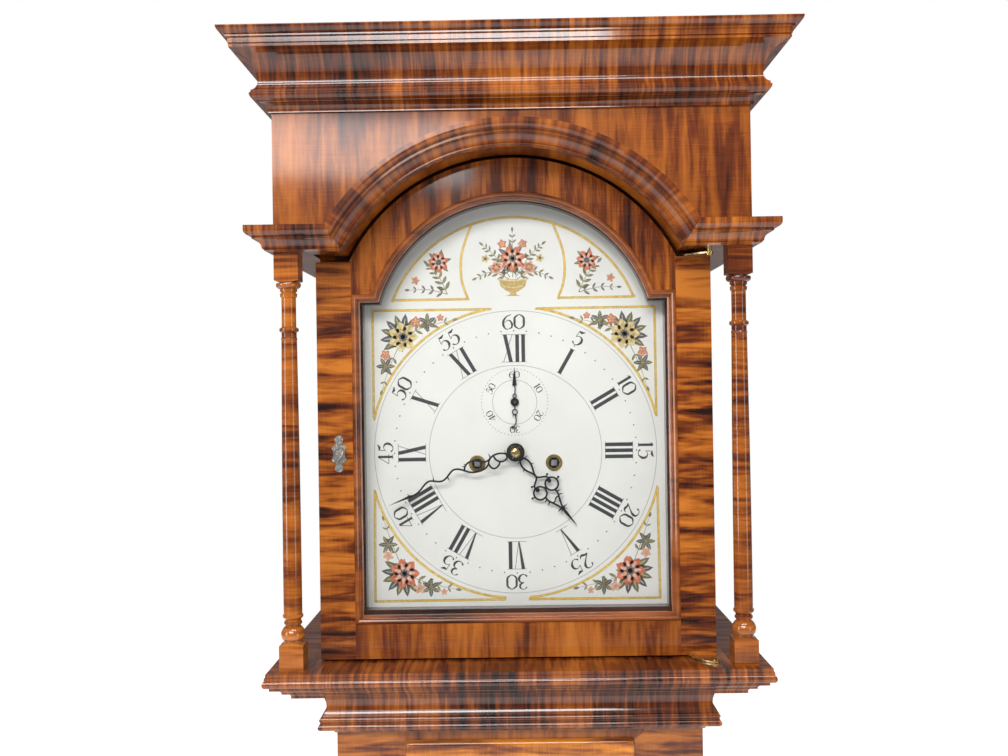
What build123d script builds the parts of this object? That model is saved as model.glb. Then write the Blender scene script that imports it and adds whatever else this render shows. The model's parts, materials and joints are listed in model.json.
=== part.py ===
from build123d import *
from math import asin, atan2, cos, degrees, hypot, pi, radians, sin, sqrt
import os

# Longcase clock. X runs to the viewer's right, Y runs back, Z runs up, in millimetres.
# The origin is on the floor, under the middle of the whole clock.

os.makedirs("parts", exist_ok=True)

# Case heights, from the floor up
foot_height = 95.0
base_height = 400.0
base_moulding_height = 48.0
trunk_height = 857.5
throat_height = 37.5
hood_seat_gap = 0.3
hood_base_thickness = 29.7

# Hood, measured from the top of its base and from the front of the frieze
frieze_half_width = 238.5
hood_depth = 285.0
soffit_height = 417.5
entablature_height = 24.5
cornice_start = 556.5
cornice_height = 75.0
cornice_projection = 43.5
arch_centre_height = 327.5
arch_radius = 191.5
board = 18.0
hood_board = 16.0
soffit_board = 10.0
roof_board = 12.0
back_board = 12.0
column_block = 24.2

# Hood door
door_setback = 36.7
door_thickness = 22.0
door_half_width = 203.3
door_bottom_gap = 2.0
door_shoulder_height = 411.5
door_arch_gap = 3.0
stile_width = 36.0
lip_width = 8.0
glass_bottom = 46.0
glass_shoulder_height = 369.6
glass_arch_radius = 146.0
glass_thickness = 2.5
door_pivot_x = 198.0
door_pivot_setback = 14.0

# Dial and hands, the dial's front face behind the front of the frieze
dial_setback = 74.0
dial_half_width = 165.0
dial_thickness = 2.0
dial_centre_height = 210.7
seconds_offset = 52.9
winding_spacing = 81.7
winding_drop = 12.1
minute_hand_turn = 248.0
minute_hand_length = 145.5
hour_hand_length = 101.0
seconds_hand_length = 38.0
hour_hand_turn = 140.7

# Trunk and base, behind the front of the frieze
trunk_setback = 21.9
trunk_half_width = 185.2
trunk_stile = 76.4
trunk_rail_top = 16.0
trunk_rail_bottom = 77.0
trunk_door_lip = 7.0
base_step = 30.0

# Movement
plate_width = 140.0
plate_bottom = 75.0
plate_top = 100.0
plate_thickness = 3.0
plate_gap = 62.0
dial_to_plate = 28.0
drum_radius = 25.0
pulley_radius = 18.0
pendulum_length = 994.0
pendulum_setback = 190.0

# Clearances
mitre_gap = 0.1
joint_gap = 0.3
running_gap = 0.05

# Places worked out from the sizes above
base_top = foot_height + base_height
trunk_bottom = base_top + base_moulding_height
throat_bottom = trunk_bottom + trunk_height
throat_top = throat_bottom + throat_height
hood_base_bottom = throat_top + hood_seat_gap
hood_z = hood_base_bottom + hood_base_thickness
cornice_top = cornice_start + cornice_height
front = -(hood_depth - cornice_projection) / 2
back = front + hood_depth
dial_z = hood_z + dial_centre_height
frieze_inner = frieze_half_width - board
hood_side_outer = door_half_width - joint_gap
hood_side_inner = hood_side_outer - hood_board
trunk_front = front + trunk_setback
backboard_front = back - back_board
roof_bottom = cornice_top - roof_board
arch_centre_z = hood_z + arch_centre_height


def block(x, y, z):
    """Rectangular piece between two corners, each direction given as low and high."""
    with Locations(((x[0] + x[1]) / 2, (y[0] + y[1]) / 2, (z[0] + z[1]) / 2)):
        Box(x[1] - x[0], y[1] - y[0], z[1] - z[0])


def facing(x, y, z, turn=0.0):
    """Plane that looks forward, its own up turned clockwise by turn degrees."""
    a = radians(turn)
    return Plane(origin=(x, y, z), x_dir=(cos(a), 0, -sin(a)), z_dir=(0, -1, 0))


def save(solid, name):
    """Label a finished piece and write its file."""
    solid.label = name
    export_step(solid, f"parts/{name}.step")


# Mouldings: outlines drawn outwards from the face they are planted on, and upwards


def cornice_outline():
    with BuildLine() as edge:
        Polyline((3.0, 0), (0, 0), (0, cornice_height), (cornice_projection, cornice_height))
        ThreePointArc((cornice_projection, cornice_height), (42.0, 70.6), (38.0, 68.0))
        Polyline((38.0, 68.0), (36.6, 68.0), (36.6, 66.0), (34.2, 65.0), (34.2, 60.4), (32.6, 60.4),
                 (32.6, 59.2), (33.6, 59.2), (33.6, 56.8), (31.5, 56.8))
        ThreePointArc((31.5, 56.8), (17.0, 46.5), (10.9, 28.5))
        ThreePointArc((10.9, 28.5), (12.0, 24.2), (14.6, 20.6))
        Polyline((14.6, 20.6), (16.6, 19.4), (16.6, 17.6), (18.0, 16.2), (18.0, 15.2))
        ThreePointArc((18.0, 15.2), (16.4, 11.8), (13.0, 9.7))
        Polyline((13.0, 9.7), (12.0, 9.7), (12.0, 8.5))
        ThreePointArc((12.0, 8.5), (5.2, 6.4), (3.0, 0))
    make_face(edge.edges())


def entablature_outline():
    with BuildLine() as edge:
        Polyline((3.0, 0), (0, 0), (0, entablature_height), (24.2, entablature_height), (24.2, 20.5))
        ThreePointArc((24.2, 20.5), (22.6, 16.2), (18.6, 14.6))
        Polyline((18.6, 14.6), (17.4, 14.2), (17.4, 12.0), (16.4, 12.0))
        ThreePointArc((16.4, 12.0), (11.6, 8.8), (9.4, 3.2))
        Polyline((9.4, 3.2), (8.0, 3.2), (8.0, 1.6), (3.0, 0))
    make_face(edge.edges())


def hood_base_outline():
    inner = -25.0
    with BuildLine() as edge:
        Polyline((-9.4, 0), (inner, 0), (inner, hood_base_thickness), (11.5, hood_base_thickness),
                 (11.5, 26.2), (12.6, 26.2), (12.6, 23.0), (13.2, 23.0))
        ThreePointArc((13.2, 23.0), (14.5, 19.6), (12.6, 16.2))
        Polyline((12.6, 16.2), (8.5, 15.0), (8.5, 12.4))
        ThreePointArc((8.5, 12.4), (2.0, 11.4), (-1.6, 7.8))
        Polyline((-1.6, 7.8), (-1.6, 6.4))
        ThreePointArc((-1.6, 6.4), (-6.6, 5.6), (-9.4, 2.6))
        Polyline((-9.4, 2.6), (-9.4, 0))
    make_face(edge.edges())


def throat_outline():
    with BuildLine() as edge:
        Polyline((2.0, 0), (0, 0), (0, throat_height), (10.5, throat_height), (10.5, 36.0))
        ThreePointArc((10.5, 36.0), (9.0, 28.5), (11.6, 20.4))
        Polyline((11.6, 20.4), (12.4, 19.0))
        ThreePointArc((12.4, 19.0), (15.4, 16.4), (13.6, 13.2))
        Polyline((13.6, 13.2), (13.6, 11.6), (15.4, 11.6))
        ThreePointArc((15.4, 11.6), (16.8, 8.4), (13.0, 5.4))
        ThreePointArc((13.0, 5.4), (5.0, 4.0), (2.0, 0))
    make_face(edge.edges())


def base_moulding_outline():
    reach = base_step + 6.0
    with BuildLine() as edge:
        Polyline((0, 0), (reach, 0), (reach, 7.0))
        ThreePointArc((reach, 7.0), (reach + 1.6, 10.5), (reach - 2.0, 14.0))
        Polyline((reach - 2.0, 14.0), (reach - 5.0, 14.0), (reach - 5.0, 17.0))
        ThreePointArc((reach - 5.0, 17.0), (14.0, 23.0), (7.0, 40.0))
        Polyline((7.0, 40.0), (5.0, 40.0), (5.0, base_moulding_height), (0, base_moulding_height), (0, 0))
    make_face(edge.edges())


def foot_outline():
    with BuildLine() as edge:
        Polyline((-14.0, 0), (6.0, 0), (6.0, foot_height - 8.0))
        ThreePointArc((6.0, foot_height - 8.0), (4.6, foot_height - 3.0), (0, foot_height))
        Polyline((0, foot_height), (-14.0, foot_height), (-14.0, 0))
    make_face(edge.edges())


def three_sides(outline, half_width, front_y, back_y, bottom):
    """Front run and two returns of one moulding, mitred where they meet."""
    reach = 60.0
    right = Plane(origin=(half_width, front_y, 0), z_dir=(1, 1, 0))
    left = Plane(origin=(-half_width, front_y, 0), z_dir=(-1, 1, 0))
    start = Plane(origin=(half_width + reach, front_y, bottom), x_dir=(0, -1, 0), z_dir=(-1, 0, 0))
    with BuildPart() as front_run:
        with BuildSketch(start):
            outline()
        extrude(amount=2 * (half_width + reach))
        split(bisect_by=right.offset(-mitre_gap / 2), keep=Keep.BOTTOM)
        split(bisect_by=left.offset(-mitre_gap / 2), keep=Keep.BOTTOM)
    with BuildPart() as returns:
        with BuildSketch(facing(half_width, back_y, bottom)):
            outline()
        extrude(amount=back_y - front_y + reach)
        split(bisect_by=right.offset(mitre_gap / 2), keep=Keep.TOP)
        mirror(about=Plane.YZ)
    return front_run.part, returns.part


# Case

base_half_width = trunk_half_width + base_step
base_front = trunk_front - base_step
trunk_inner = trunk_half_width - board
seatboard_top = dial_z - plate_bottom
seatboard_thickness = 20.0
seatboard_front = front + dial_setback + 18.0
seatboard_back = front + pendulum_setback + 18.0
cheek_front = seatboard_front

with BuildPart() as backboard:
    block((-trunk_half_width, trunk_half_width), (backboard_front, back),
          (base_top, hood_z + roof_bottom - joint_gap))
    base_back = base_half_width - board
    block((-base_back, base_back), (backboard_front, back), (foot_height, base_top))
save(backboard.part, "backboard")

with BuildPart() as trunk_sides:
    side_start = Plane(origin=(trunk_inner, 0, 0), x_dir=(0, 1, 0), z_dir=(1, 0, 0))
    frame_back = trunk_front + board
    with BuildSketch(side_start):
        with BuildLine():
            Polyline((frame_back, base_top - 60.0), (backboard_front, base_top - 60.0),
                     (backboard_front, seatboard_top - seatboard_thickness),
                     (cheek_front, seatboard_top - seatboard_thickness),
                     (cheek_front, throat_top), (frame_back, throat_top), close=True)
        make_face()
    extrude(amount=board)
    mirror(about=Plane.YZ)
save(trunk_sides.part, "trunk_sides")

window_half = trunk_half_width - trunk_stile
window_bottom = trunk_bottom + trunk_rail_bottom
window_top = throat_bottom - trunk_rail_top
with BuildPart() as trunk_front_frame:
    block((-trunk_half_width, trunk_half_width), (trunk_front, trunk_front + board), (base_top, throat_top))
    with Locations((0, trunk_front + board / 2, (window_bottom + window_top) / 2)):
        Box(2 * window_half, 2 * board, window_top - window_bottom, mode=Mode.SUBTRACT)
save(trunk_front_frame.part, "trunk_front_frame")

throat_moulding_runs = three_sides(throat_outline, trunk_half_width, trunk_front, back, throat_bottom)
with BuildPart() as throat_moulding:
    for run in throat_moulding_runs:
        add(run)
save(throat_moulding.part, "throat_moulding")

base_moulding_runs = three_sides(base_moulding_outline, trunk_half_width, trunk_front, back, base_top)
with BuildPart() as base_moulding:
    for run in base_moulding_runs:
        add(run)
save(base_moulding.part, "base_moulding")

floor_board = 12.0
with BuildPart() as base_panels:
    block((-base_half_width, base_half_width), (base_front, base_front + board), (foot_height, base_top))
    for side in (-1, 1):
        outer, inner = side * base_half_width, side * (base_half_width - board)
        block((min(outer, inner), max(outer, inner)), (base_front + board, back), (foot_height, base_top))
    floor_half = base_half_width - board
    block((-floor_half, floor_half), (base_front + board, backboard_front), (foot_height, foot_height + floor_board))
save(base_panels.part, "base_panels")

foot_length = 95.0
side_foot_length = 78.0
bracket_feet_runs = three_sides(foot_outline, base_half_width, base_front, back, 0)
with BuildPart() as bracket_feet:
    for run in bracket_feet_runs:
        add(run)
    # The scrolled opening between two feet, cut along one run at a time
    for place, half in ((facing(0, 0, 0), base_half_width - foot_length),
                        (Plane(origin=(0, (base_front + back) / 2, 0), x_dir=(0, 1, 0), z_dir=(1, 0, 0)),
                         (back - base_front) / 2 - side_foot_length)):
        with BuildSketch(place):
            with BuildLine():
                Polyline((-half, -1.0), (half, -1.0), (half, 18.0))
                ThreePointArc((half, 18.0), (half - 6.0, 36.0), (half - 24.0, 44.0))
                ThreePointArc((half - 24.0, 44.0), (half - 38.0, 50.0), (half - 44.0, 64.0))
                Polyline((half - 44.0, 64.0), (44.0 - half, 64.0))
                ThreePointArc((44.0 - half, 64.0), (38.0 - half, 50.0), (24.0 - half, 44.0))
                ThreePointArc((24.0 - half, 44.0), (6.0 - half, 36.0), (-half, 18.0))
                Polyline((-half, 18.0), (-half, -1.0))
            make_face()
        extrude(amount=2 * base_half_width, both=True, mode=Mode.SUBTRACT)
save(bracket_feet.part, "bracket_feet")

# Seatboard, with its notch for the pendulum and its holes for the lines

line_radius = 0.9
line_reach = drum_radius + line_radius + running_gap
time_line_x = (winding_spacing / 2 - line_reach, winding_spacing / 2 - line_reach + 2 * pulley_radius)
strike_line_x = (-winding_spacing / 2 - line_reach, -winding_spacing / 2 - line_reach + 2 * pulley_radius)
plates_front = front + dial_setback + dial_thickness + dial_to_plate
plates_back = plates_front + 2 * plate_thickness + plate_gap
line_y = plates_front + plate_thickness + plate_gap / 2
pendulum_y = front + pendulum_setback

with BuildPart() as seatboard:
    block((-trunk_half_width + joint_gap, trunk_half_width - joint_gap), (seatboard_front, seatboard_back),
          (seatboard_top - seatboard_thickness, seatboard_top))
    notch_depth = seatboard_back - (pendulum_y - 14.0)
    with Locations((0, seatboard_back - notch_depth / 2, seatboard_top)):
        Box(60.0, notch_depth, 3 * seatboard_thickness, mode=Mode.SUBTRACT)
    line_holes = [(x, line_y, seatboard_top) for x in time_line_x + strike_line_x]
    with Locations(*line_holes):
        Cylinder(line_radius + 2.5, 3 * seatboard_thickness, mode=Mode.SUBTRACT)
save(seatboard.part, "seatboard")

# Trunk door with its lip, hinges, keyhole plate and turn catch

lip_thickness = 6.0
door_fit = 1.5
trunk_door_x = window_half + trunk_door_lip
trunk_door_z = (window_bottom - trunk_door_lip, window_top + trunk_door_lip)
lip_front = trunk_front - joint_gap - lip_thickness
hinge_radius = 3.2
hinge_leaf = 1.6
trunk_pivot_x = trunk_door_x + hinge_radius + joint_gap
trunk_pivot_y = lip_front + 1.0
hinge_heights = (trunk_door_z[0] + 110.0, trunk_door_z[1] - 110.0)
hinge_length = 60.0
catch_x = -trunk_door_x + 22.0
catch_z = trunk_door_z[1] - 330.0
catch_shaft = 3.0
tongue_half = 3.2
tongue_thickness = 3.0

with BuildPart() as trunk_door:
    lip_middle = (trunk_door_z[0] + trunk_door_z[1]) / 2
    lip_height = trunk_door_z[1] - trunk_door_z[0]
    with BuildSketch(facing(0, lip_front + lip_thickness, lip_middle)):
        RectangleRounded(2 * trunk_door_x, lip_height, 3.0)
    extrude(amount=lip_thickness)
    fillet(trunk_door.faces().sort_by(Axis.Y)[0].edges(), radius=lip_thickness - 1.5)
    block((-window_half + door_fit, window_half - door_fit), (lip_front + lip_thickness, trunk_front + board),
          (window_bottom + door_fit, window_top - door_fit))
    with Locations(Plane(origin=(catch_x, lip_front, catch_z), z_dir=(0, 1, 0))):
        Cylinder(catch_shaft + running_gap, 4 * board, mode=Mode.SUBTRACT)
save(trunk_door.part, "trunk_door")


def knuckle(x, y, z, length, radius):
    """Round hinge knuckle standing on z."""
    with Locations((x, y, z + length / 2)):
        Cylinder(radius, length)


with BuildPart() as trunk_door_hinges:
    for z in hinge_heights:
        for low in (z, z + 2 * hinge_length / 3):
            knuckle(trunk_pivot_x, trunk_pivot_y, low, hinge_length / 3 - joint_gap, hinge_radius)
            block((trunk_pivot_x, trunk_pivot_x + 16.0), (trunk_front - hinge_leaf, trunk_front),
                  (low, low + hinge_length / 3 - joint_gap))
            block((trunk_pivot_x, trunk_pivot_x + hinge_leaf + 1.0), (trunk_pivot_y, trunk_front),
                  (low, low + hinge_length / 3 - joint_gap))
        knuckle(trunk_pivot_x, trunk_pivot_y, z - 3.0, hinge_length + 6.0, hinge_radius / 2)
save(trunk_door_hinges.part, "trunk_door_hinges")

plate_face = 1.2
with BuildPart() as trunk_door_brasswork:
    for z in hinge_heights:
        low = z + hinge_length / 3
        knuckle(trunk_pivot_x, trunk_pivot_y, low, hinge_length / 3 - joint_gap, hinge_radius)
        block((trunk_door_x - 16.0, trunk_pivot_x), (lip_front - hinge_leaf, lip_front),
              (low, low + hinge_length / 3 - joint_gap))
        with Locations((trunk_pivot_x, trunk_pivot_y, low + hinge_length / 6)):
            Cylinder(hinge_radius / 2 + running_gap, hinge_length, mode=Mode.SUBTRACT)
    with BuildSketch(facing(catch_x, lip_front, catch_z)):
        Ellipse(9.0, 16.0)
        Circle(catch_shaft + running_gap, mode=Mode.SUBTRACT)
    extrude(amount=plate_face)
save(trunk_door_brasswork.part, "trunk_door_brasswork")


def turn_catch(x, face_y, z, through, tongue):
    """Oval thumb-turn on a shaft, with a narrow tongue behind, which hangs down at rest."""
    with BuildPart() as catch:
        with BuildSketch(facing(x, face_y - 5.0, z, turn=35.0)):
            Ellipse(4.0, 8.5)
        extrude(amount=3.0)
        chamfer(catch.faces().sort_by(Axis.Y)[0].edges(), length=1.0)
        with BuildSketch(facing(x, face_y + through + tongue_thickness, z)):
            Circle(catch_shaft)
        extrude(amount=through + tongue_thickness + 6.0)
        block((x - tongue_half, x + tongue_half), (face_y + through, face_y + through + tongue_thickness),
              (z - tongue, z + 4.0))
    return catch.part


save(turn_catch(catch_x, lip_front - plate_face, catch_z, trunk_front + board - lip_front + plate_face + 0.5, 24.0),
     "trunk_door_turn")

# Hood: boards

lock_x = -door_half_width + 21.6
lock_z = hood_z + 213.5
tongue_length = 12.5
tongue_setback = 4.5
catch_room = 1.2
mask_front = front + door_setback + door_thickness + 1.0

with BuildPart() as hood_sides:
    block((hood_side_inner, hood_side_outer), (mask_front, back), (hood_z, hood_z + roof_bottom))
    mirror(about=Plane.YZ)
    # Mortise that the door catch's tongue swings into
    mortise_y = front + door_setback + door_thickness + tongue_setback + tongue_thickness / 2
    mortise_height = tongue_length + tongue_half + 2 * catch_room
    with Locations((-hood_side_inner, mortise_y, lock_z - mortise_height / 2 + tongue_half + catch_room)):
        Box(2 * 9.0, tongue_thickness + 2 * catch_room, mortise_height, mode=Mode.SUBTRACT)
save(hood_sides.part, "hood_sides")

with BuildPart() as hood_roof:
    block((-frieze_half_width, frieze_half_width), (front, back), (hood_z + roof_bottom, hood_z + cornice_top))
save(hood_roof.part, "hood_roof")

cornice_runs = three_sides(cornice_outline, frieze_half_width, front, back, hood_z + cornice_start)
with BuildPart() as cornice:
    for run in cornice_runs:
        add(run)
save(cornice.part, "cornice")

tympanum_board = 20.0
arch_rib = 15.0
with BuildPart() as tympanum:
    block((-frieze_half_width, frieze_half_width), (front, front + tympanum_board),
          (hood_z + soffit_height, hood_z + roof_bottom))
    with BuildSketch(facing(0, front + tympanum_board + arch_rib, arch_centre_z)):
        Circle(arch_radius + 14.0)
        Circle(arch_radius, mode=Mode.SUBTRACT)
    extrude(amount=arch_rib)
    with BuildSketch(facing(0, front + 2 * tympanum_board, arch_centre_z)):
        Circle(arch_radius)
    extrude(amount=3 * tympanum_board, mode=Mode.SUBTRACT)
    split(bisect_by=Plane.XY.offset(hood_z + soffit_height), keep=Keep.TOP)
save(tympanum.part, "tympanum")

with BuildPart() as frieze_sides:
    block((frieze_inner, frieze_half_width), (front + tympanum_board, back),
          (hood_z + soffit_height, hood_z + roof_bottom))
    block((hood_side_outer, frieze_inner), (front + tympanum_board, back),
          (hood_z + soffit_height, hood_z + soffit_height + soffit_board))
    mirror(about=Plane.YZ)
save(frieze_sides.part, "frieze_sides")

# Entablature moulding: it returns along the sides and springs into the arch over the door

arch_outer = arch_radius + entablature_height
spring_low = soffit_height - arch_centre_height
spring_high = spring_low + entablature_height
spring_in = sqrt(arch_radius ** 2 - spring_low ** 2)
spring_out = sqrt(arch_outer ** 2 - spring_high ** 2)
spring_normal = (entablature_height, 0, spring_in - spring_out)
spring_plane = Plane(origin=(spring_in, 0, hood_z + soffit_height), z_dir=spring_normal)
entablature_front, entablature_returns = three_sides(
    entablature_outline, frieze_half_width, front, back, hood_z + soffit_height)
with BuildPart() as short_runs:
    add(entablature_front)
    split(bisect_by=spring_plane.offset(mitre_gap / 2), keep=Keep.TOP)
    mirror(about=Plane.YZ)
with BuildPart() as arch_moulding:
    with BuildSketch(Plane(origin=(0, front, arch_centre_z + arch_radius), x_dir=(0, -1, 0), z_dir=(-1, 0, 0))):
        entablature_outline()
    arch_axis = Axis((0, front, arch_centre_z), (0, 1, 0))
    revolve(axis=arch_axis, revolution_arc=360)
    split(bisect_by=Plane.XY.offset(hood_z + soffit_height), keep=Keep.TOP)
    split(bisect_by=spring_plane.offset(-mitre_gap / 2), keep=Keep.BOTTOM)
    left_spring = Plane(origin=(-spring_in, 0, hood_z + soffit_height),
                        z_dir=(-entablature_height, 0, spring_in - spring_out))
    split(bisect_by=left_spring.offset(-mitre_gap / 2), keep=Keep.BOTTOM)
with BuildPart() as entablature_moulding:
    add(short_runs.part)
    add(entablature_returns)
    add(arch_moulding.part)
save(entablature_moulding.part, "entablature_moulding")

# Columns: square blocks with turned work between

column_x = frieze_half_width - column_block / 2
column_y = front + column_block / 2
lower_block = 28.0
upper_block = 388.8

with BuildPart() as hood_columns:
    with BuildSketch(Plane(origin=(column_x, column_y, hood_z), x_dir=(1, 0, 0), z_dir=(0, -1, 0))):
        with BuildLine():
            Polyline((0, 12.0), (0, upper_block + 4.0), (8.0, upper_block + 4.0), (8.0, upper_block - 1.2),
                     (12.0, upper_block - 1.2))
            ThreePointArc((12.0, upper_block - 1.2), (12.2, upper_block - 4.2), (8.6, upper_block - 6.6))
            Polyline((8.6, upper_block - 6.6), (8.6, 379.4), (7.4, 379.4), (7.4, 378.2), (8.6, 376.8),
                     (8.2, 373.6), (7.2, 373.0), (7.2, 343.6), (9.6, 342.0), (9.6, 339.4), (7.5, 338.0),
                     (7.5, 333.0), (8.2, 331.8), (7.7, 330.6))
            ThreePointArc((7.7, 330.6), (8.9, 190.0), (9.3, 56.6))
            Polyline((9.3, 56.6), (9.3, 54.8), (10.2, 54.2), (10.2, 52.2), (8.0, 49.8), (8.0, 48.2),
                     (9.0, 47.2), (9.0, 45.4), (7.6, 44.4), (7.6, 43.0))
            ThreePointArc((7.6, 43.0), (11.6, 37.4), (11.2, 30.6))
            Polyline((11.2, 30.6), (9.6, 30.2), (9.6, 12.0), (0, 12.0))
        make_face()
    revolve(axis=Axis((column_x, column_y, hood_z), (0, 0, 1)), revolution_arc=360)
    half = column_block / 2
    with BuildSketch(facing(column_x, column_y + half, hood_z)):
        with BuildLine():
            Polyline((-half, lower_block - 3.0), (-half, 0), (half, 0), (half, lower_block - 3.0))
            ThreePointArc((half, lower_block - 3.0), (0, lower_block), (-half, lower_block - 3.0))
        make_face()
        with BuildLine():
            Polyline((-half, upper_block + 1.2), (-half, soffit_height), (half, soffit_height),
                     (half, upper_block + 1.2))
            ThreePointArc((half, upper_block + 1.2), (0, upper_block - 0.6), (-half, upper_block + 1.2))
        make_face()
    extrude(amount=column_block)
    mirror(about=Plane.YZ)
save(hood_columns.part, "hood_columns")

# Hood base: moulded rails outside, plain rails inside, open at the back

rail_inner = 25.0
front_rail_back = front + dial_setback - 4.0
hood_base_runs = three_sides(hood_base_outline, frieze_half_width, front, back, hood_base_bottom)
with BuildPart() as hood_base:
    for run in hood_base_runs:
        add(run)
    inside = frieze_half_width - rail_inner
    rail_bottom = hood_base_bottom + 7.0
    inside = inside - mitre_gap
    block((-inside, inside), (front + rail_inner + mitre_gap, front_rail_back), (rail_bottom, hood_z))
    block((hood_side_inner, inside), (front_rail_back + mitre_gap, back), (rail_bottom, hood_z))
    block((-inside, -hood_side_inner), (front_rail_back + mitre_gap, back), (rail_bottom, hood_z))
save(hood_base.part, "hood_base")

# Mask board round the dial

mask_back = front + dial_setback - joint_gap
mask_half = dial_half_width - 6.3
mask_bottom = hood_z + glass_bottom + 1.4
mask_shoulder = hood_z + glass_shoulder_height - 1.0


def break_arch(half_width, bottom, shoulder, radius, mode=Mode.ADD):
    """Square face with a round head that rises from flat shoulders, in the frame of facing(0, y, 0)."""
    rise = shoulder - arch_centre_z
    spring = sqrt(radius ** 2 - rise ** 2)
    with BuildLine() as edge:
        Polyline((-spring, shoulder), (-half_width, shoulder), (-half_width, bottom), (half_width, bottom),
                 (half_width, shoulder), (spring, shoulder))
        ThreePointArc((spring, shoulder), (0, arch_centre_z + radius), (-spring, shoulder))
    make_face(edge.edges(), mode=mode)


with BuildPart() as dial_mask:
    block((-hood_side_inner, hood_side_inner), (mask_front, mask_back), (hood_z, hood_z + cornice_start))
    with BuildSketch(facing(0, mask_back + 1.0, 0)):
        break_arch(mask_half, mask_bottom, mask_shoulder, glass_arch_radius + 1.0)
    extrude(amount=mask_back - mask_front + 2.0, mode=Mode.SUBTRACT)
    # Notch that lets the door catch's tongue through to its mortise in the side
    with Locations((lock_x - 2.0, (mask_front + mask_back) / 2, lock_z - 3.0)):
        Box(15.0, 2 * board, 24.0, mode=Mode.SUBTRACT)
save(dial_mask.part, "dial_mask")

# Hood door

door_front = front + door_setback
door_back = door_front + door_thickness
door_bottom = hood_z + door_bottom_gap
door_shoulder = hood_z + door_shoulder_height
door_arch = arch_radius - door_arch_gap
stile_inner = door_half_width - stile_width
glass_half = stile_inner - lip_width
rail_top = hood_z + glass_bottom - lip_width - 0.5
opening_shoulder = hood_z + glass_shoulder_height
stile_joint = joint_gap / 6

with BuildPart() as hood_door_stiles:
    block((stile_inner, door_half_width), (door_front, door_back), (door_bottom, door_shoulder))
    mirror(about=Plane.YZ)
    with Locations(Plane(origin=(lock_x, door_front, lock_z), z_dir=(0, 1, 0))):
        Cylinder(catch_shaft + running_gap, 4 * door_thickness, mode=Mode.SUBTRACT)
save(hood_door_stiles.part, "hood_door_stiles")

lip_outer_radius = glass_arch_radius + lip_width
rail_end = stile_inner - stile_joint
with BuildPart() as hood_door_rails:
    block((-rail_end, rail_end), (door_front, door_back), (door_bottom, rail_top))
    with BuildSketch(facing(0, door_back, 0)):
        with BuildLine():
            rise = door_shoulder - arch_centre_z
            spring = sqrt(door_arch ** 2 - rise ** 2)
            Polyline((-spring, door_shoulder), (-rail_end, door_shoulder),
                     (-rail_end, opening_shoulder + lip_width), (rail_end, opening_shoulder + lip_width),
                     (rail_end, door_shoulder), (spring, door_shoulder))
            ThreePointArc((spring, door_shoulder), (0, arch_centre_z + door_arch), (-spring, door_shoulder))
        make_face()
        with Locations((0, arch_centre_z)):
            Circle(lip_outer_radius, mode=Mode.SUBTRACT)
    extrude(amount=door_thickness)
save(hood_door_rails.part, "hood_door_rails")

lip_proud = 1.6
lip_back = door_front + 9.0
with BuildPart() as hood_door_lip:
    with BuildSketch(facing(0, lip_back, 0)):
        break_arch(stile_inner, rail_top, opening_shoulder + lip_width, lip_outer_radius)
        break_arch(glass_half, hood_z + glass_bottom, opening_shoulder, glass_arch_radius, Mode.SUBTRACT)
    extrude(amount=lip_back - door_front + lip_proud)
save(hood_door_lip.part, "hood_door_lip")

glass_fit = 0.3
with BuildPart() as hood_door_glass:
    with BuildSketch(facing(0, lip_back + glass_thickness, 0)):
        break_arch(stile_inner - glass_fit, rail_top + glass_fit, opening_shoulder + lip_width - glass_fit,
                   lip_outer_radius - glass_fit)
    extrude(amount=glass_thickness)
save(hood_door_glass.part, "hood_door_glass")

# Horn-shaped hinge plates on the door's lower and upper edge, turning on pins in the hood

horn_thickness = 1.5
pivot_y = front + door_pivot_setback
pin_radius = 2.0
horn_low = door_bottom - horn_thickness
horn_high = door_shoulder
with BuildPart() as hood_hinge_plates:
    for level in (horn_low, horn_high):
        with BuildSketch(Plane.XY.offset(level)):
            with BuildLine():
                Polyline((door_pivot_x + 4.0, pivot_y), (door_half_width - 1.5, door_front),
                         (door_half_width - 1.5, door_back - 4.0), (door_half_width - 29.0, door_back - 4.0),
                         (door_half_width - 29.0, door_front))
                ThreePointArc((door_half_width - 29.0, door_front), (door_pivot_x - 16.0, pivot_y + 8.0),
                              (door_pivot_x - 1.5, pivot_y - 4.0))
                ThreePointArc((door_pivot_x - 1.5, pivot_y - 4.0), (door_pivot_x + 3.0, pivot_y - 3.0),
                              (door_pivot_x + 4.0, pivot_y))
            make_face()
            with Locations((door_pivot_x, pivot_y)):
                Circle(pin_radius + running_gap, mode=Mode.SUBTRACT)
        extrude(amount=horn_thickness)
save(hood_hinge_plates.part, "hood_hinge_plates")

pin_head = 3.4
with BuildPart() as hood_hinge_pins:
    with Locations((door_pivot_x, pivot_y, hood_z)):
        Cylinder(pin_radius, door_bottom_gap + joint_gap, align=(Align.CENTER, Align.CENTER, Align.MIN))
    with Locations((door_pivot_x, pivot_y, door_bottom + joint_gap)):
        Cylinder(pin_head, 1.4, align=(Align.CENTER, Align.CENTER, Align.MIN))
    with Locations((door_pivot_x, pivot_y, hood_z + soffit_height)):
        Cylinder(pin_radius, soffit_height - door_shoulder_height + joint_gap,
                 align=(Align.CENTER, Align.CENTER, Align.MAX))
    with Locations((door_pivot_x, pivot_y, door_shoulder - joint_gap)):
        Cylinder(pin_head, 1.4, align=(Align.CENTER, Align.CENTER, Align.MAX))
save(hood_hinge_pins.part, "hood_hinge_pins")

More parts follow.
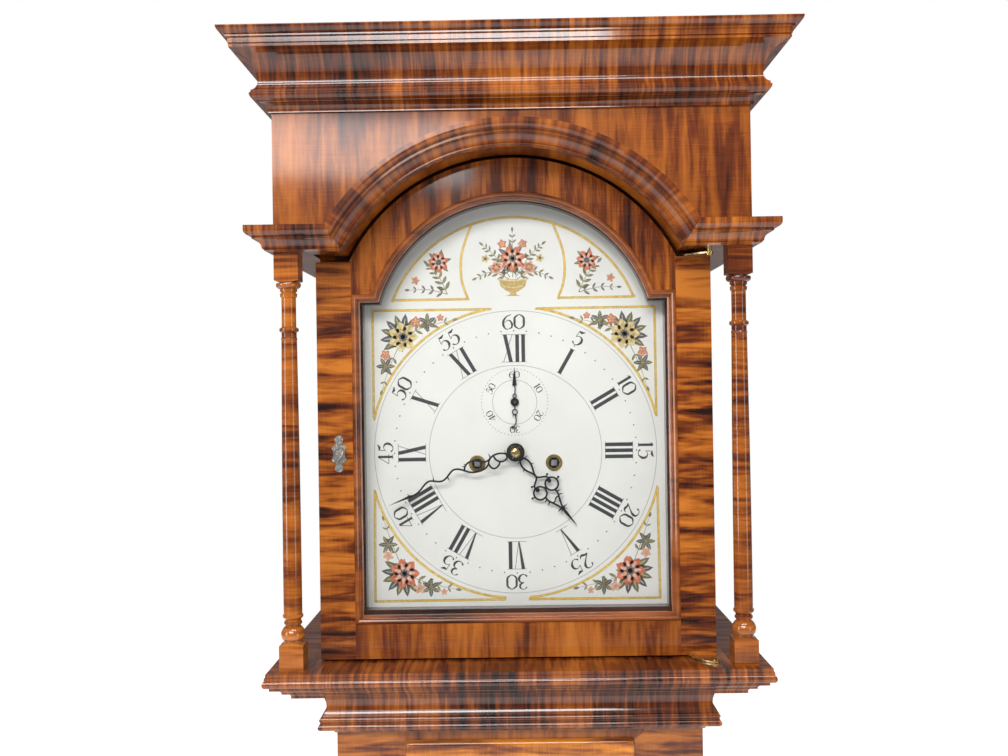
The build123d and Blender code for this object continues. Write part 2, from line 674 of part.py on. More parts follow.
with BuildPart() as hood_door_escutcheon:
    with BuildSketch(facing(lock_x, door_front, lock_z)):
        Ellipse(6.0, 13.0)
        with Locations((0, 14.5), (0, -14.5)):
            Circle(4.4)
        with Locations((0, 6.0), (0, -6.0)):
            Ellipse(7.8, 3.4)
        Circle(catch_shaft + running_gap, mode=Mode.SUBTRACT)
    extrude(amount=plate_face)
save(hood_door_escutcheon.part, "hood_door_escutcheon")

save(turn_catch(lock_x, door_front - plate_face, lock_z, door_thickness + plate_face + tongue_setback, tongue_length),
     "hood_door_turn")

# Dial plate with its feet, and the grommets of the winding holes

dial_front = front + dial_setback
dial_back = dial_front + dial_thickness
dial_bottom = dial_z - dial_half_width
dial_shoulder = hood_z + glass_shoulder_height + 6.0
winding_x = winding_spacing / 2
winding_z = dial_z - winding_drop
winding_hole = 7.0
seconds_z = dial_z + seconds_offset
hour_pipe_radius = 4.2
foot_places = [(x, z) for x in (-58.0, 58.0) for z in (dial_z - 66.0, dial_z + 92.0)]

with BuildPart() as dial_plate:
    with BuildSketch(facing(0, dial_back, 0)):
        break_arch(dial_half_width, dial_bottom, dial_shoulder, glass_arch_radius + 5.0)
        with Locations((0, dial_z)):
            Circle(hour_pipe_radius + 1.8, mode=Mode.SUBTRACT)
        with Locations((0, seconds_z)):
            Circle(2.4, mode=Mode.SUBTRACT)
        with Locations((winding_x, winding_z), (-winding_x, winding_z)):
            Circle(winding_hole, mode=Mode.SUBTRACT)
    extrude(amount=dial_thickness)
    for x, z in foot_places:
        with BuildSketch(facing(x, plates_front, z)):
            Circle(2.5)
        extrude(amount=dial_to_plate)
save(dial_plate.part, "dial_plate")

with BuildPart() as winding_grommets:
    with BuildSketch(facing(winding_x, dial_back, winding_z)):
        Circle(winding_hole)
        Circle(5.7, mode=Mode.SUBTRACT)
    extrude(amount=dial_thickness + 1.2)
    with BuildSketch(facing(winding_x, dial_front, winding_z)):
        Circle(8.8)
        Circle(5.7, mode=Mode.SUBTRACT)
    extrude(amount=1.2)
    mirror(about=Plane.YZ)
save(winding_grommets.part, "winding_grommets")

# Movement: two plates held apart by pillars

gap_front = plates_front + plate_thickness
gap_back = gap_front + plate_gap
pallet_z = seconds_z + 31.0
pillar_places = [(-57.0, dial_z - 66.0), (57.0, dial_z - 66.0), (-41.0, dial_z + 94.0), (41.0, dial_z + 94.0)]
third_x, third_z = 14.0, dial_z + 27.0
minute_distance = 27.0
pin_x, pin_z = -38.0, dial_z + 24.7
gather_x, gather_z = -24.0, dial_z + 47.8
warn_x, warn_z = -42.0, dial_z + 60.5
fly_x, fly_z = -50.0, dial_z + 76.5
hammer_x, hammer_z = -66.0, dial_z + 40.0
arbor_radius = 1.8
slim_arbor_radius = 1.3
pivot_radius = 1.0
barrel_arbor_radius = 4.6
hour_wheel_teeth, cannon_teeth, minute_leaves = 72, 36, 6
cannon_module = minute_distance * 2 / (2 * cannon_teeth)
hour_module = minute_distance * 2 / (hour_wheel_teeth + minute_leaves)
minute_wheel_z = dial_z - minute_distance
cannon_y = plates_front - 1.0
post_radius = 2.0
arbors = [(0, dial_z), (third_x, third_z), (0, seconds_z), (0, pallet_z), (pin_x, pin_z),
          (gather_x, gather_z), (warn_x, warn_z), (fly_x, fly_z), (hammer_x, hammer_z)]

with BuildPart() as movement_frame:
    for face in (gap_front, plates_back):
        with BuildSketch(facing(0, face, 0)):
            with Locations((0, dial_z + (plate_top - plate_bottom) / 2)):
                Rectangle(plate_width, plate_top + plate_bottom)
            with Locations(*arbors):
                Circle(pivot_radius + running_gap, mode=Mode.SUBTRACT)
            with Locations((0, dial_z)):
                Circle(arbor_radius + running_gap, mode=Mode.SUBTRACT)
            with Locations((winding_x, winding_z), (-winding_x, winding_z)):
                Circle(barrel_arbor_radius + running_gap, mode=Mode.SUBTRACT)
        extrude(amount=plate_thickness)
    for x, z in pillar_places:
        with BuildSketch(facing(x, gap_back, z)):
            Circle(4.0)
        extrude(amount=plate_gap)
    with BuildSketch(facing(0, gap_front, minute_wheel_z)):
        Circle(post_radius)
    extrude(amount=gap_front - cannon_y + 3.0 - joint_gap)
save(movement_frame.part, "movement_frame")

# Back cock, which carries the anchor's arbor and the pendulum

cock_arm = pendulum_y + 9.0
with BuildPart() as back_cock:
    for x in (-14.0, 14.0):
        block((x - 6.0, x + 6.0), (plates_back, cock_arm), (pallet_z - 5.0, pallet_z + 9.0))
    block((-20.0, 20.0), (pendulum_y - 6.0, cock_arm), (pallet_z + 0.4, pallet_z + 9.0))
save(back_cock.part, "back_cock")

# Bell on its stand, mouth down over the plates

bell_radius = 42.0
bell_wall = 2.2
bell_x = 0.0
bell_z = dial_z + plate_top + 12.0
bell_y = gap_front + 30.0
with BuildPart() as bell:
    with BuildSketch(Plane(origin=(bell_x, bell_y, bell_z), x_dir=(1, 0, 0), z_dir=(0, -1, 0))):
        with BuildLine():
            Polyline((0, 26.0), (0, 26.0 + bell_wall), (5.0, 26.0 + bell_wall))
            ThreePointArc((5.0, 26.0 + bell_wall), (30.0, 18.0), (bell_radius, 0))
            Polyline((bell_radius, 0), (bell_radius - bell_wall, 0))
            ThreePointArc((bell_radius - bell_wall, 0), (28.4, 16.2), (5.0, 26.0))
            Polyline((5.0, 26.0), (0, 26.0))
        make_face()
    revolve(axis=Axis((bell_x, bell_y, bell_z), (0, 0, 1)), revolution_arc=360)
    stand_top = bell_z + 26.0 + bell_wall
    with Locations((bell_x, bell_y, bell_z + 22.0)):
        Cylinder(2.5, 20.0, align=(Align.CENTER, Align.CENTER, Align.MIN))
    block((bell_x - 4.0, bell_x + 4.0), (bell_y - 4.0, plates_back + 4.0), (bell_z + 38.0, bell_z + 42.0))
    block((bell_x - 4.0, bell_x + 4.0), (plates_back, plates_back + 4.0), (dial_z + plate_top - 6.0, bell_z + 42.0))
save(bell.part, "bell")

# Toothed wheels: straight-sided teeth with room to spare between them

WHEEL_TEETH = (0.14, 0.60, 1.0, 1.2)
PINION_TEETH = (0.14, 0.40, 0.7, 1.4)


def toothed(teeth, module, towards, on_tooth, form):
    """Face of a toothed wheel; a tooth, or else a gap, points towards that angle."""
    tip, root, addendum, dedendum = form
    pitch = 2 * pi / teeth
    start = radians(towards) + (0 if on_tooth else pitch / 2)
    outer = module * (teeth / 2 + addendum)
    inner = module * (teeth / 2 - dedendum)
    points = []
    for k in range(teeth):
        for radius, offset in ((inner, -root / 2), (outer, -tip / 2), (outer, tip / 2), (inner, root / 2)):
            angle = start + (k + offset) * pitch
            points.append((radius * cos(angle), radius * sin(angle)))
    with BuildLine() as edge:
        Polyline(*points, close=True)
    make_face(edge.edges())


def crossings(outer, inner, arm, count):
    """Windows that leave a rim, a hub and straight arms."""
    half_outer = asin(arm / 2 / outer)
    half_inner = asin(arm / 2 / inner)
    step = 2 * pi / count
    for k in range(count):
        a0, a1 = k * step + half_outer, (k + 1) * step - half_outer
        b0, b1 = k * step + half_inner, (k + 1) * step - half_inner
        middle = (a0 + a1) / 2
        with BuildLine() as edge:
            ThreePointArc((outer * cos(a0), outer * sin(a0)), (outer * cos(middle), outer * sin(middle)),
                          (outer * cos(a1), outer * sin(a1)))
            Polyline((outer * cos(a1), outer * sin(a1)), (inner * cos(b1), inner * sin(b1)),
                     (inner * cos(b0), inner * sin(b0)), (outer * cos(a0), outer * sin(a0)))
        make_face(edge.edges(), mode=Mode.SUBTRACT)


def direction(from_x, from_z, to_x, to_z):
    return degrees(atan2(to_z - from_z, to_x - from_x))


def disc(x, z, y_back, thickness, radius, hole=0.0):
    """Round piece about an arbor, standing forward from y_back."""
    with BuildSketch(facing(x, y_back, z)) as face:
        Circle(radius)
        if hole:
            Circle(hole, mode=Mode.SUBTRACT)
    extrude(face.sketch, amount=thickness)


def depth(behind_front_plate):
    """Place between the plates, measured back from the front plate."""
    return gap_front + behind_front_plate


def train_arbor(x, z, radius=arbor_radius):
    """Arbor between the plates with a thinner pivot through each plate."""
    disc(x, z, gap_back - 0.3, plate_gap - 0.6, radius)
    disc(x, z, plates_back, plate_gap + 2 * plate_thickness, pivot_radius)


great_teeth, strike_great_teeth, centre_teeth, third_teeth = 96, 84, 60, 56
pin_teeth, gather_teeth, warn_teeth = 64, 56, 48
leaves, small_leaves = 8, 7
escape_teeth = 30
great_distance = hypot(winding_x, winding_drop)
great_module = 2 * great_distance / (great_teeth + leaves)
centre_module = 2 * hypot(third_x, third_z - dial_z) / (centre_teeth + leaves)
third_module = 2 * hypot(third_x, third_z - seconds_z) / (third_teeth + small_leaves)
strike_module = 2 * hypot(pin_x + winding_x, pin_z - winding_z) / (strike_great_teeth + leaves)
pin_module = 2 * hypot(gather_x - pin_x, gather_z - pin_z) / (pin_teeth + leaves)
gather_module = 2 * hypot(warn_x - gather_x, warn_z - gather_z) / (gather_teeth + small_leaves)
warn_module = 2 * hypot(fly_x - warn_x, fly_z - warn_z) / (warn_teeth + small_leaves)


def great_wheel(x, teeth, module, to_x, to_z):
    """Great wheel, free on its barrel arbor."""
    with BuildPart() as wheel:
        with BuildSketch(facing(x, depth(55.0), winding_z)):
            toothed(teeth, module, direction(x, winding_z, to_x, to_z), True, WHEEL_TEETH)
            Circle(barrel_arbor_radius + running_gap, mode=Mode.SUBTRACT)
        extrude(amount=3.0)
    return wheel.part


save(great_wheel(winding_x, great_teeth, great_module, 0, dial_z), "great_wheel")
save(great_wheel(-winding_x, strike_great_teeth, strike_module, pin_x, pin_z), "strike_great_wheel")


def barrel(x):
    """Drum with end caps and ratchet on its arbor, whose square reaches the dial."""
    with BuildPart() as drum:
        disc(x, winding_z, depth(48.0), 36.0, drum_radius)
        disc(x, winding_z, depth(50.0), 2.0, drum_radius + 3.0)
        disc(x, winding_z, depth(13.0), 1.6, drum_radius + 3.0)
        with BuildSketch(facing(x, depth(51.7), winding_z)):
            with BuildLine():
                count = 24
                teeth = []
                for k in range(count):
                    a, b = 2 * pi * k / count, 2 * pi * (k + 0.9) / count
                    teeth.append((drum_radius * 0.8 * cos(a), drum_radius * 0.8 * sin(a)))
                    teeth.append((drum_radius * 0.92 * cos(b), drum_radius * 0.92 * sin(b)))
                Polyline(*teeth, close=True)
            make_face()
        extrude(amount=1.7)
        disc(x, winding_z, plates_back, plates_back - plates_front + 2.0, barrel_arbor_radius)
        with BuildSketch(facing(x, plates_front - 2.0, winding_z)):
            Rectangle(6.0, 6.0)
        extrude(amount=plates_front - 2.0 - (dial_front - 1.0))
    return drum.part


save(barrel(winding_x), "time_barrel")
save(barrel(-winding_x), "strike_barrel")

# Going train

hour_wheel_y = plates_front - 7.0
cannon_pipe_radius = 3.0
minute_hand_y = dial_front - 12.4
hour_hand_y = dial_front - 6.0
seconds_hand_y = dial_front - 2.0
hand_thickness = 1.1

with BuildPart() as centre_wheel:
    with BuildSketch(facing(0, depth(6.0), dial_z)):
        toothed(centre_teeth, centre_module, direction(0, dial_z, third_x, third_z), True, WHEEL_TEETH)
        crossings(centre_module * centre_teeth / 2 - 4.0, 6.0, 3.0, 4)
    extrude(amount=2.0)
    with BuildSketch(facing(0, depth(57.0), dial_z)):
        toothed(leaves, great_module, direction(0, dial_z, winding_x, winding_z), False, PINION_TEETH)
    extrude(amount=7.0)
    disc(0, dial_z, gap_back - 0.3, plate_gap - 0.6, arbor_radius)
    disc(0, dial_z, plates_back, plates_back - plates_front + 1.5, arbor_radius)
    with BuildSketch(facing(0, cannon_y, dial_z)):
        toothed(cannon_teeth, cannon_module, -90.0, True, WHEEL_TEETH)
    extrude(amount=3.0)
    disc(0, dial_z, cannon_y, cannon_y - minute_hand_y + hand_thickness - 0.2, cannon_pipe_radius)
save(centre_wheel.part, "centre_wheel")

with BuildPart() as third_wheel:
    with BuildSketch(facing(third_x, depth(11.0), third_z)):
        toothed(third_teeth, third_module, direction(third_x, third_z, 0, seconds_z), True, WHEEL_TEETH)
        crossings(third_module * third_teeth / 2 - 4.0, 6.0, 3.0, 4)
    extrude(amount=2.0)
    with BuildSketch(facing(third_x, depth(8.0), third_z)):
        toothed(leaves, centre_module, direction(third_x, third_z, 0, dial_z), False, PINION_TEETH)
    extrude(amount=6.0)
    train_arbor(third_x, third_z)
save(third_wheel.part, "third_wheel")

escape_radius = 20.0
with BuildPart() as escape_wheel:
    with BuildSketch(facing(0, depth(22.0), seconds_z)):
        with BuildLine():
            tips = []
            for k in range(escape_teeth):
                a = radians(90.0) - 2 * pi * (k + 0.5) / escape_teeth
                slant = 2 * pi / escape_teeth
                tips.append((escape_radius * cos(a), escape_radius * sin(a)))
                tips.append((0.985 * escape_radius * cos(a - 0.10 * slant), 0.985 * escape_radius * sin(a - 0.10 * slant)))
                tips.append((0.83 * escape_radius * cos(a - 0.46 * slant), 0.83 * escape_radius * sin(a - 0.46 * slant)))
                tips.append((0.83 * escape_radius * cos(a - 0.72 * slant), 0.83 * escape_radius * sin(a - 0.72 * slant)))
            Polyline(*tips, close=True)
        make_face()
        crossings(13.5, 5.0, 2.6, 4)
    extrude(amount=1.6)
    with BuildSketch(facing(0, depth(13.5), seconds_z)):
        toothed(small_leaves, third_module, direction(0, seconds_z, third_x, third_z), False, PINION_TEETH)
    extrude(amount=6.0)
    train_arbor(0, seconds_z)
    disc(0, seconds_z, plates_front, plates_front - seconds_hand_y + 0.6, pivot_radius)
save(escape_wheel.part, "escape_wheel")

# Motion work behind the dial

with BuildPart() as minute_wheel:
    with BuildSketch(facing(0, cannon_y, minute_wheel_z)):
        toothed(cannon_teeth, cannon_module, 90.0, False, WHEEL_TEETH)
        Circle(post_radius + running_gap, mode=Mode.SUBTRACT)
    extrude(amount=3.0)
    with BuildSketch(facing(0, cannon_y - 3.0, minute_wheel_z)):
        toothed(minute_leaves, hour_module, 90.0, False, PINION_TEETH)
    extrude(amount=6.0)
save(minute_wheel.part, "minute_wheel")

with BuildPart() as hour_wheel:
    with BuildSketch(facing(0, hour_wheel_y, dial_z)):
        toothed(hour_wheel_teeth, hour_module, -90.0, True, WHEEL_TEETH)
        Circle(cannon_pipe_radius + running_gap, mode=Mode.SUBTRACT)
    extrude(amount=2.0)
    disc(0, dial_z, hour_wheel_y, hour_wheel_y - hour_hand_y + hand_thickness, hour_pipe_radius,
         hole=cannon_pipe_radius + running_gap)
save(hour_wheel.part, "hour_wheel")

# Hands, drawn pointing to the top of the dial; Strokes follow the forged bars

boss_ring = 9.6


def stroke(points, width):
    """Bar of one width along a smooth line."""
    with BuildLine() as bar:
        Spline(*points)
    trace(lines=bar.line, line_width=width)


def spike(root, tip, width=1.8):
    """Small pointed leaf that grows from a bar."""
    side = (Vector(*tip) - Vector(*root)).normalized().rotate(Axis.Z, 90) * (width / 2)
    with BuildLine() as edge:
        Polyline(Vector(*root) + side, Vector(*root) - side, tip, close=True)
    make_face(edge.edges())


def ring(x, z, radius, width):
    """Bar bent to a closed circle."""
    with Locations((x, z)):
        Circle(radius + width / 2)
        Circle(radius - width / 2, mode=Mode.SUBTRACT)


def ball(x, z, radius):
    with Locations((x, z)):
        Circle(radius)


bar = 1.9
with BuildPart() as minute_hand:
    with BuildSketch(facing(0, minute_hand_y, dial_z, turn=minute_hand_turn)):
        Circle(boss_ring)
        # Scroll next to the boss
        stroke([(1.6, 8.6), (5.3, 14.8), (6.3, 19.4), (6.0, 23.6), (4.1, 27.6), (1.0, 30.2), (-3.6, 30.0),
                (-6.8, 27.3), (-6.4, 23.1), (-3.0, 19.2)], bar)
        stroke([(1.4, 9.0), (-3.4, 14.2), (-2.3, 18.9), (0.8, 21.7), (5.9, 22.6)], bar)
        # Long eye and the wave that runs on to the tip
        stroke([(5.2, 26.2), (3.9, 34.6), (9.0, 43.7), (8.8, 51.9), (2.8, 57.0)], bar)
        stroke([(1.0, 30.2), (-2.6, 34.5), (-3.3, 43.0), (-0.3, 52.5), (5.3, 59.4), (8.4, 67.0), (4.3, 76.0),
                (2.4, 84.0), (7.3, 95.2), (2.7, 107.1), (0.4, 120.0)], bar)
        for root, tip in (((0.8, 9.9), (7.9, 9.8)), ((0.8, 9.9), (-6.0, 11.3)), ((5.2, 26.4), (10.8, 26.8)),
                          ((7.6, 53.4), (10.6, 55.2)), ((6.6, 54.2), (8.6, 58.2)), ((4.3, 76.0), (-1.6, 75.4)),
                          ((5.0, 91.6), (11.7, 89.2)), ((0.3, 121.6), (-3.7, 121.6)), ((0.3, 121.6), (4.3, 121.6))):
            spike(root, tip)
        spike((0.3, 119.0), (0.1, minute_hand_length), 3.0)
        Circle(cannon_pipe_radius + running_gap, mode=Mode.SUBTRACT)
    extrude(amount=hand_thickness)
    disc(0, dial_z, minute_hand_y - hand_thickness, 3.4, 7.4)
save(minute_hand.part, "minute_hand")

with BuildPart() as hour_hand:
    with BuildSketch(facing(0, hour_hand_y, dial_z, turn=hour_hand_turn)):
        Circle(boss_ring)
        # Heart next to the boss
        for side in (-1, 1):
            stroke([(side * 0.3, 8.6), (side * 4.1, 14.0), (side * 4.6, 18.6), (side * 3.4, 23.2), (0, 31.6)], bar)
            spike((0, 10.2), (side * 8.2, 11.4))
            spike((side * 4.4, 19.8), (side * 7.8, 21.6))
            # Arms that end in balls, inside a pair of rings
            ring(side * 7.9, 50.2, 6.9, bar)
            stroke([(0, 30.6), (side * 2.2, 36.6), (side * 8.6, 41.8), (side * 8.4, 44.6)], bar)
            ball(side * 7.9, 45.8, 2.3)
            stroke([(side * 7.0, 40.6), (side * 10.4, 39.4)], 1.2)
            ball(side * 10.6, 39.4, 1.2)
            stroke([(side * 14.6, 50.0), (side * 17.6, 49.1)], 1.2)
            ball(side * 17.8, 49.1, 1.2)
            # Two bars that close again under the crown
            stroke([(side * 6.1, 56.4), (side * 6.4, 61.6), (side * 4.9, 65.6), (side * 3.2, 69.4), (side * 0.8, 77.0)],
                   bar)
            spike((side * 6.3, 59.6), (side * 11.4, 61.0))
            spike((side * 5.7, 63.4), (side * 11.2, 65.8))
            spike((0, 76.8), (side * 7.2, 77.0), 2.4)
            spike((0, 77.0), (side * 4.0, 81.0), 2.4)
        ball(0, 49.6, 1.8)
        stroke([(-4.9, 65.6), (-1.4, 64.6), (1.4, 66.4), (4.9, 65.6)], 1.4)
        with BuildLine():
            Polyline((-0.8, 76.0), (0.8, 76.0), (1.6, 83.0), (0.2, hour_hand_length), (-0.2, hour_hand_length),
                     (-1.6, 83.0), close=True)
        make_face()
        Circle(hour_pipe_radius + running_gap, mode=Mode.SUBTRACT)
    extrude(amount=hand_thickness)
save(hour_hand.part, "hour_hand")

with BuildPart() as seconds_hand:
    with BuildSketch(facing(0, seconds_hand_y, seconds_z)):
        Circle(4.5)
        Circle(pivot_radius + running_gap, mode=Mode.SUBTRACT)
        ring(0, 6.6, 1.8, 1.0)
        stroke([(0, 8.0), (0.5, 12.0), (0, 18.6)], 1.1)
        spike((0, 17.6), (0, seconds_hand_length), 4.6)
        spike((0, 22.0), (0, 17.0), 4.4)
        ring(0, -10.4, 2.6, 1.0)
        stroke([(0, -4.0), (0, -8.0)], 1.1)
        spike((0, -12.6), (-3.4, -15.6), 1.2)
        spike((0, -12.6), (3.4, -15.6), 1.2)
        stroke([(0, -12.6), (1.2, -18.6), (0.6, -23.0), (-2.4, -26.6)], 1.1)
        ball(-2.6, -26.8, 1.5)
    extrude(amount=0.8)
save(seconds_hand.part, "seconds_hand")

# Anchor with its arbor and crutch; its pallets stand clear of the escape wheel at rest

pallet_y = depth(22.3)
crutch_y = plates_back + 5.0
crutch_length = 120.0
rod_radius = 2.2
with BuildPart() as anchor:
    with BuildSketch(facing(0, pallet_y, pallet_z)):
        with BuildLine():
            reach = 16.2
            drop = -17.6
            Polyline((-4.0, 3.5), (4.0, 3.5), (reach + 2.0, -6.0), (reach + 1.4, drop), (reach - 1.6, drop + 2.4),
                     (reach - 2.0, -7.6), (0, -5.6), (2.0 - reach, -7.6), (1.6 - reach, drop + 2.4),
                     (-reach - 1.4, drop), (-reach - 2.0, -6.0), close=True)
        make_face()
    extrude(amount=2.2)
    disc(0, pallet_z, gap_back - 0.3, plate_gap - 0.6, arbor_radius)
    disc(0, pallet_z, crutch_y + 3.0, crutch_y + 3.0 - plates_front, pivot_radius)
    block((-2.0, 2.0), (crutch_y, crutch_y + 2.0), (pallet_z - crutch_length, pallet_z + 3.0))
    for side in (-1, 1):
        inner = side * (rod_radius + joint_gap)
        outer = inner + side * 1.6
        block((min(inner, outer), max(inner, outer)), (crutch_y, pendulum_y + 4.0),
              (pallet_z - crutch_length, pallet_z - crutch_length + 5.0))
    block((-rod_radius - 1.9, rod_radius + 1.9), (crutch_y, crutch_y + 2.0),
          (pallet_z - crutch_length, pallet_z - crutch_length + 5.0))
save(anchor.part, "anchor")

# Pendulum: spring, block, rod, bob and rating nut

bob_radius = 55.0
bob_half_thickness = 13.0
bob_z = pallet_z - pendulum_length
rod_bottom = bob_z - bob_radius - 34.0
with BuildPart() as pendulum:
    block((-0.3, 0.3), (pendulum_y - 5.0, pendulum_y + 5.0), (pallet_z - 36.0, pallet_z))
    block((-3.0, 3.0), (pendulum_y - 4.0, pendulum_y + 4.0), (pallet_z - 50.0, pallet_z - 34.0))
    with Locations((0, pendulum_y, rod_bottom)):
        Cylinder(rod_radius, pallet_z - 49.0 - rod_bottom, align=(Align.CENTER, Align.CENTER, Align.MIN))
    with Locations((0, pendulum_y, bob_z - bob_radius - 12.0)):
        Cylinder(8.0, 6.0, align=(Align.CENTER, Align.CENTER, Align.MIN))
save(pendulum.part, "pendulum")

with BuildPart() as pendulum_bob:
    with BuildSketch(Plane(origin=(0, pendulum_y, bob_z), x_dir=(1, 0, 0), z_dir=(0, 0, 1))):
        with BuildLine():
            Polyline((0, -bob_half_thickness), (0, bob_half_thickness))
            ThreePointArc((0, bob_half_thickness), (bob_radius * 0.62, bob_half_thickness * 0.72), (bob_radius, 1.5))
            Polyline((bob_radius, 1.5), (bob_radius, -1.5))
            ThreePointArc((bob_radius, -1.5), (bob_radius * 0.62, -bob_half_thickness * 0.72), (0, -bob_half_thickness))
        make_face()
    revolve(axis=Axis((0, pendulum_y, bob_z), (0, 1, 0)), revolution_arc=360)
    with Locations((0, pendulum_y, bob_z)):
        Cylinder(rod_radius + running_gap, 4 * bob_radius, mode=Mode.SUBTRACT)
    with Locations((0, pendulum_y, bob_z - bob_radius)):
        Cylinder(4.0, 6.0, align=(Align.CENTER, Align.CENTER, Align.MAX))
    with Locations((0, pendulum_y, bob_z - bob_radius)):
        Cylinder(rod_radius + running_gap, 40.0, mode=Mode.SUBTRACT)
save(pendulum_bob.part, "pendulum_bob")

# Striking train

with BuildPart() as pin_wheel:
    with BuildSketch(facing(pin_x, depth(60.0), pin_z)):
        toothed(pin_teeth, pin_module, direction(pin_x, pin_z, gather_x, gather_z), True, WHEEL_TEETH)
    extrude(amount=2.0)
    with BuildSketch(facing(pin_x, depth(58.5), pin_z)):
        toothed(leaves, strike_module, direction(pin_x, pin_z, -winding_x, winding_z), False, PINION_TEETH)
    extrude(amount=7.0)
    train_arbor(pin_x, pin_z)
save(pin_wheel.part, "pin_wheel")

with BuildPart() as gathering_wheel:
    with BuildSketch(facing(gather_x, depth(47.0), gather_z)):
        toothed(gather_teeth, gather_module, direction(gather_x, gather_z, warn_x, warn_z), True, WHEEL_TEETH)
    extrude(amount=2.0)
    with BuildSketch(facing(gather_x, depth(61.0), gather_z)):
        toothed(leaves, pin_module, direction(gather_x, gather_z, pin_x, pin_z), False, PINION_TEETH)
    extrude(amount=5.0)
    train_arbor(gather_x, gather_z)
save(gathering_wheel.part, "gathering_wheel")

with BuildPart() as warning_wheel:
    with BuildSketch(facing(warn_x, depth(38.0), warn_z)):
        toothed(warn_teeth, warn_module, direction(warn_x, warn_z, fly_x, fly_z), True, WHEEL_TEETH)
    extrude(amount=1.6)
    with BuildSketch(facing(warn_x, depth(49.0), warn_z)):
        toothed(small_leaves, gather_module, direction(warn_x, warn_z, gather_x, gather_z), False, PINION_TEETH)
    extrude(amount=6.0)
    train_arbor(warn_x, warn_z, slim_arbor_radius)
save(warning_wheel.part, "warning_wheel")

with BuildPart() as fly:
    with BuildSketch(facing(fly_x, depth(40.0), fly_z)):
        toothed(small_leaves, warn_module, direction(fly_x, fly_z, warn_x, warn_z), False, PINION_TEETH)
    extrude(amount=6.0)
    train_arbor(fly_x, fly_z, slim_arbor_radius)
    block((fly_x - 13.0, fly_x + 13.0), (depth(43.0), depth(57.0)), (fly_z - 0.5, fly_z + 0.5))
save(fly.part, "fly")

with BuildPart() as hammer:
    train_arbor(hammer_x, hammer_z)
    hammer_y = bell_y
    head_x = bell_x - bell_radius - 10.5
    head_z = bell_z + 3.0
    with BuildSketch(facing(0, hammer_y + 1.5, 0)):
        with BuildLine():
            Polyline((hammer_x - 2.0, hammer_z), (hammer_x + 2.0, hammer_z), (head_x + 1.4, head_z),
                     (head_x - 1.4, head_z), close=True)
        make_face()
        with Locations((hammer_x, hammer_z)):
            Circle(5.0)
    extrude(amount=3.0)
    with Locations(Plane(origin=(head_x, hammer_y, head_z), z_dir=(1, 0, 0))):
        Cylinder(4.5, 17.0)
save(hammer.part, "hammer")

# Weights, pulleys and gut lines

weight_radius = 30.0
weight_height = 215.0
pulley_z = seatboard_top - seatboard_thickness - 60.0
weight_top = pulley_z - pulley_radius - 26.0


def weight(x):
    """Iron cylinder with a stirrup that holds the pulley's arbor, and the loop of gut under the pulley."""
    with BuildPart() as body:
        with BuildSketch(Plane(origin=(x, line_y, weight_top - weight_height))):
            Circle(weight_radius)
        extrude(amount=weight_height)
        chamfer(body.edges().filter_by(GeomType.CIRCLE), length=2.5)
        for side in (-1, 1):
            low = line_y + side * 5.0
            high = low + side * 1.5
            block((x - 5.0, x + 5.0), (min(low, high), max(low, high)), (weight_top - 1.0, pulley_z + 6.0))
        block((x - 5.0, x + 5.0), (line_y - 6.5, line_y + 6.5), (weight_top - 1.0, weight_top + 3.0))
        with BuildSketch(facing(x, line_y + 6.5, pulley_z)):
            Circle(2.0)
        extrude(amount=13.0)
        with BuildSketch(Plane(origin=(x, line_y, pulley_z - joint_gap), x_dir=(1, 0, 0), z_dir=(0, 0, 1))):
            with Locations((pulley_radius + joint_gap, 0)):
                Circle(line_radius)
        revolve(axis=Axis((x, line_y, pulley_z - joint_gap), (0, 1, 0)), revolution_arc=180)
    return body.part


def pulley(x):
    """Grooved pulley."""
    with BuildPart() as wheel:
        groove = pulley_radius - line_radius
        with BuildSketch(Plane(origin=(x, line_y, pulley_z), x_dir=(1, 0, 0), z_dir=(0, 0, 1))):
            with BuildLine():
                Polyline((2.0 + running_gap, -4.0), (2.0 + running_gap, 4.0), (groove + 3.0, 4.0), (groove - 0.1, 1.2),
                         (groove - 0.1, -1.2), (groove + 3.0, -4.0), close=True)
            make_face()
        revolve(axis=Axis((x, line_y, pulley_z), (0, 1, 0)), revolution_arc=360)
    return wheel.part


def gut_line(falls):
    """The two falls of one line, from the barrel and from the seatboard down to the pulley."""
    with BuildPart() as line:
        for x, top in zip(falls, (winding_z, seatboard_top)):
            with Locations((x, line_y, pulley_z)):
                Cylinder(line_radius, top - pulley_z, align=(Align.CENTER, Align.CENTER, Align.MIN))
    return line.part


time_weight_x = sum(time_line_x) / 2
strike_weight_x = sum(strike_line_x) / 2
save(weight(time_weight_x), "time_weight")
save(pulley(time_weight_x), "time_pulley")
save(gut_line(time_line_x), "time_line")
save(weight(strike_weight_x), "strike_weight")
save(pulley(strike_weight_x), "strike_pulley")
save(gut_line(strike_line_x), "strike_line")
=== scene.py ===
import json
from math import atan2, cos, degrees, hypot, pi, radians, sin, sqrt

import bpy
from mathutils import Matrix, Vector


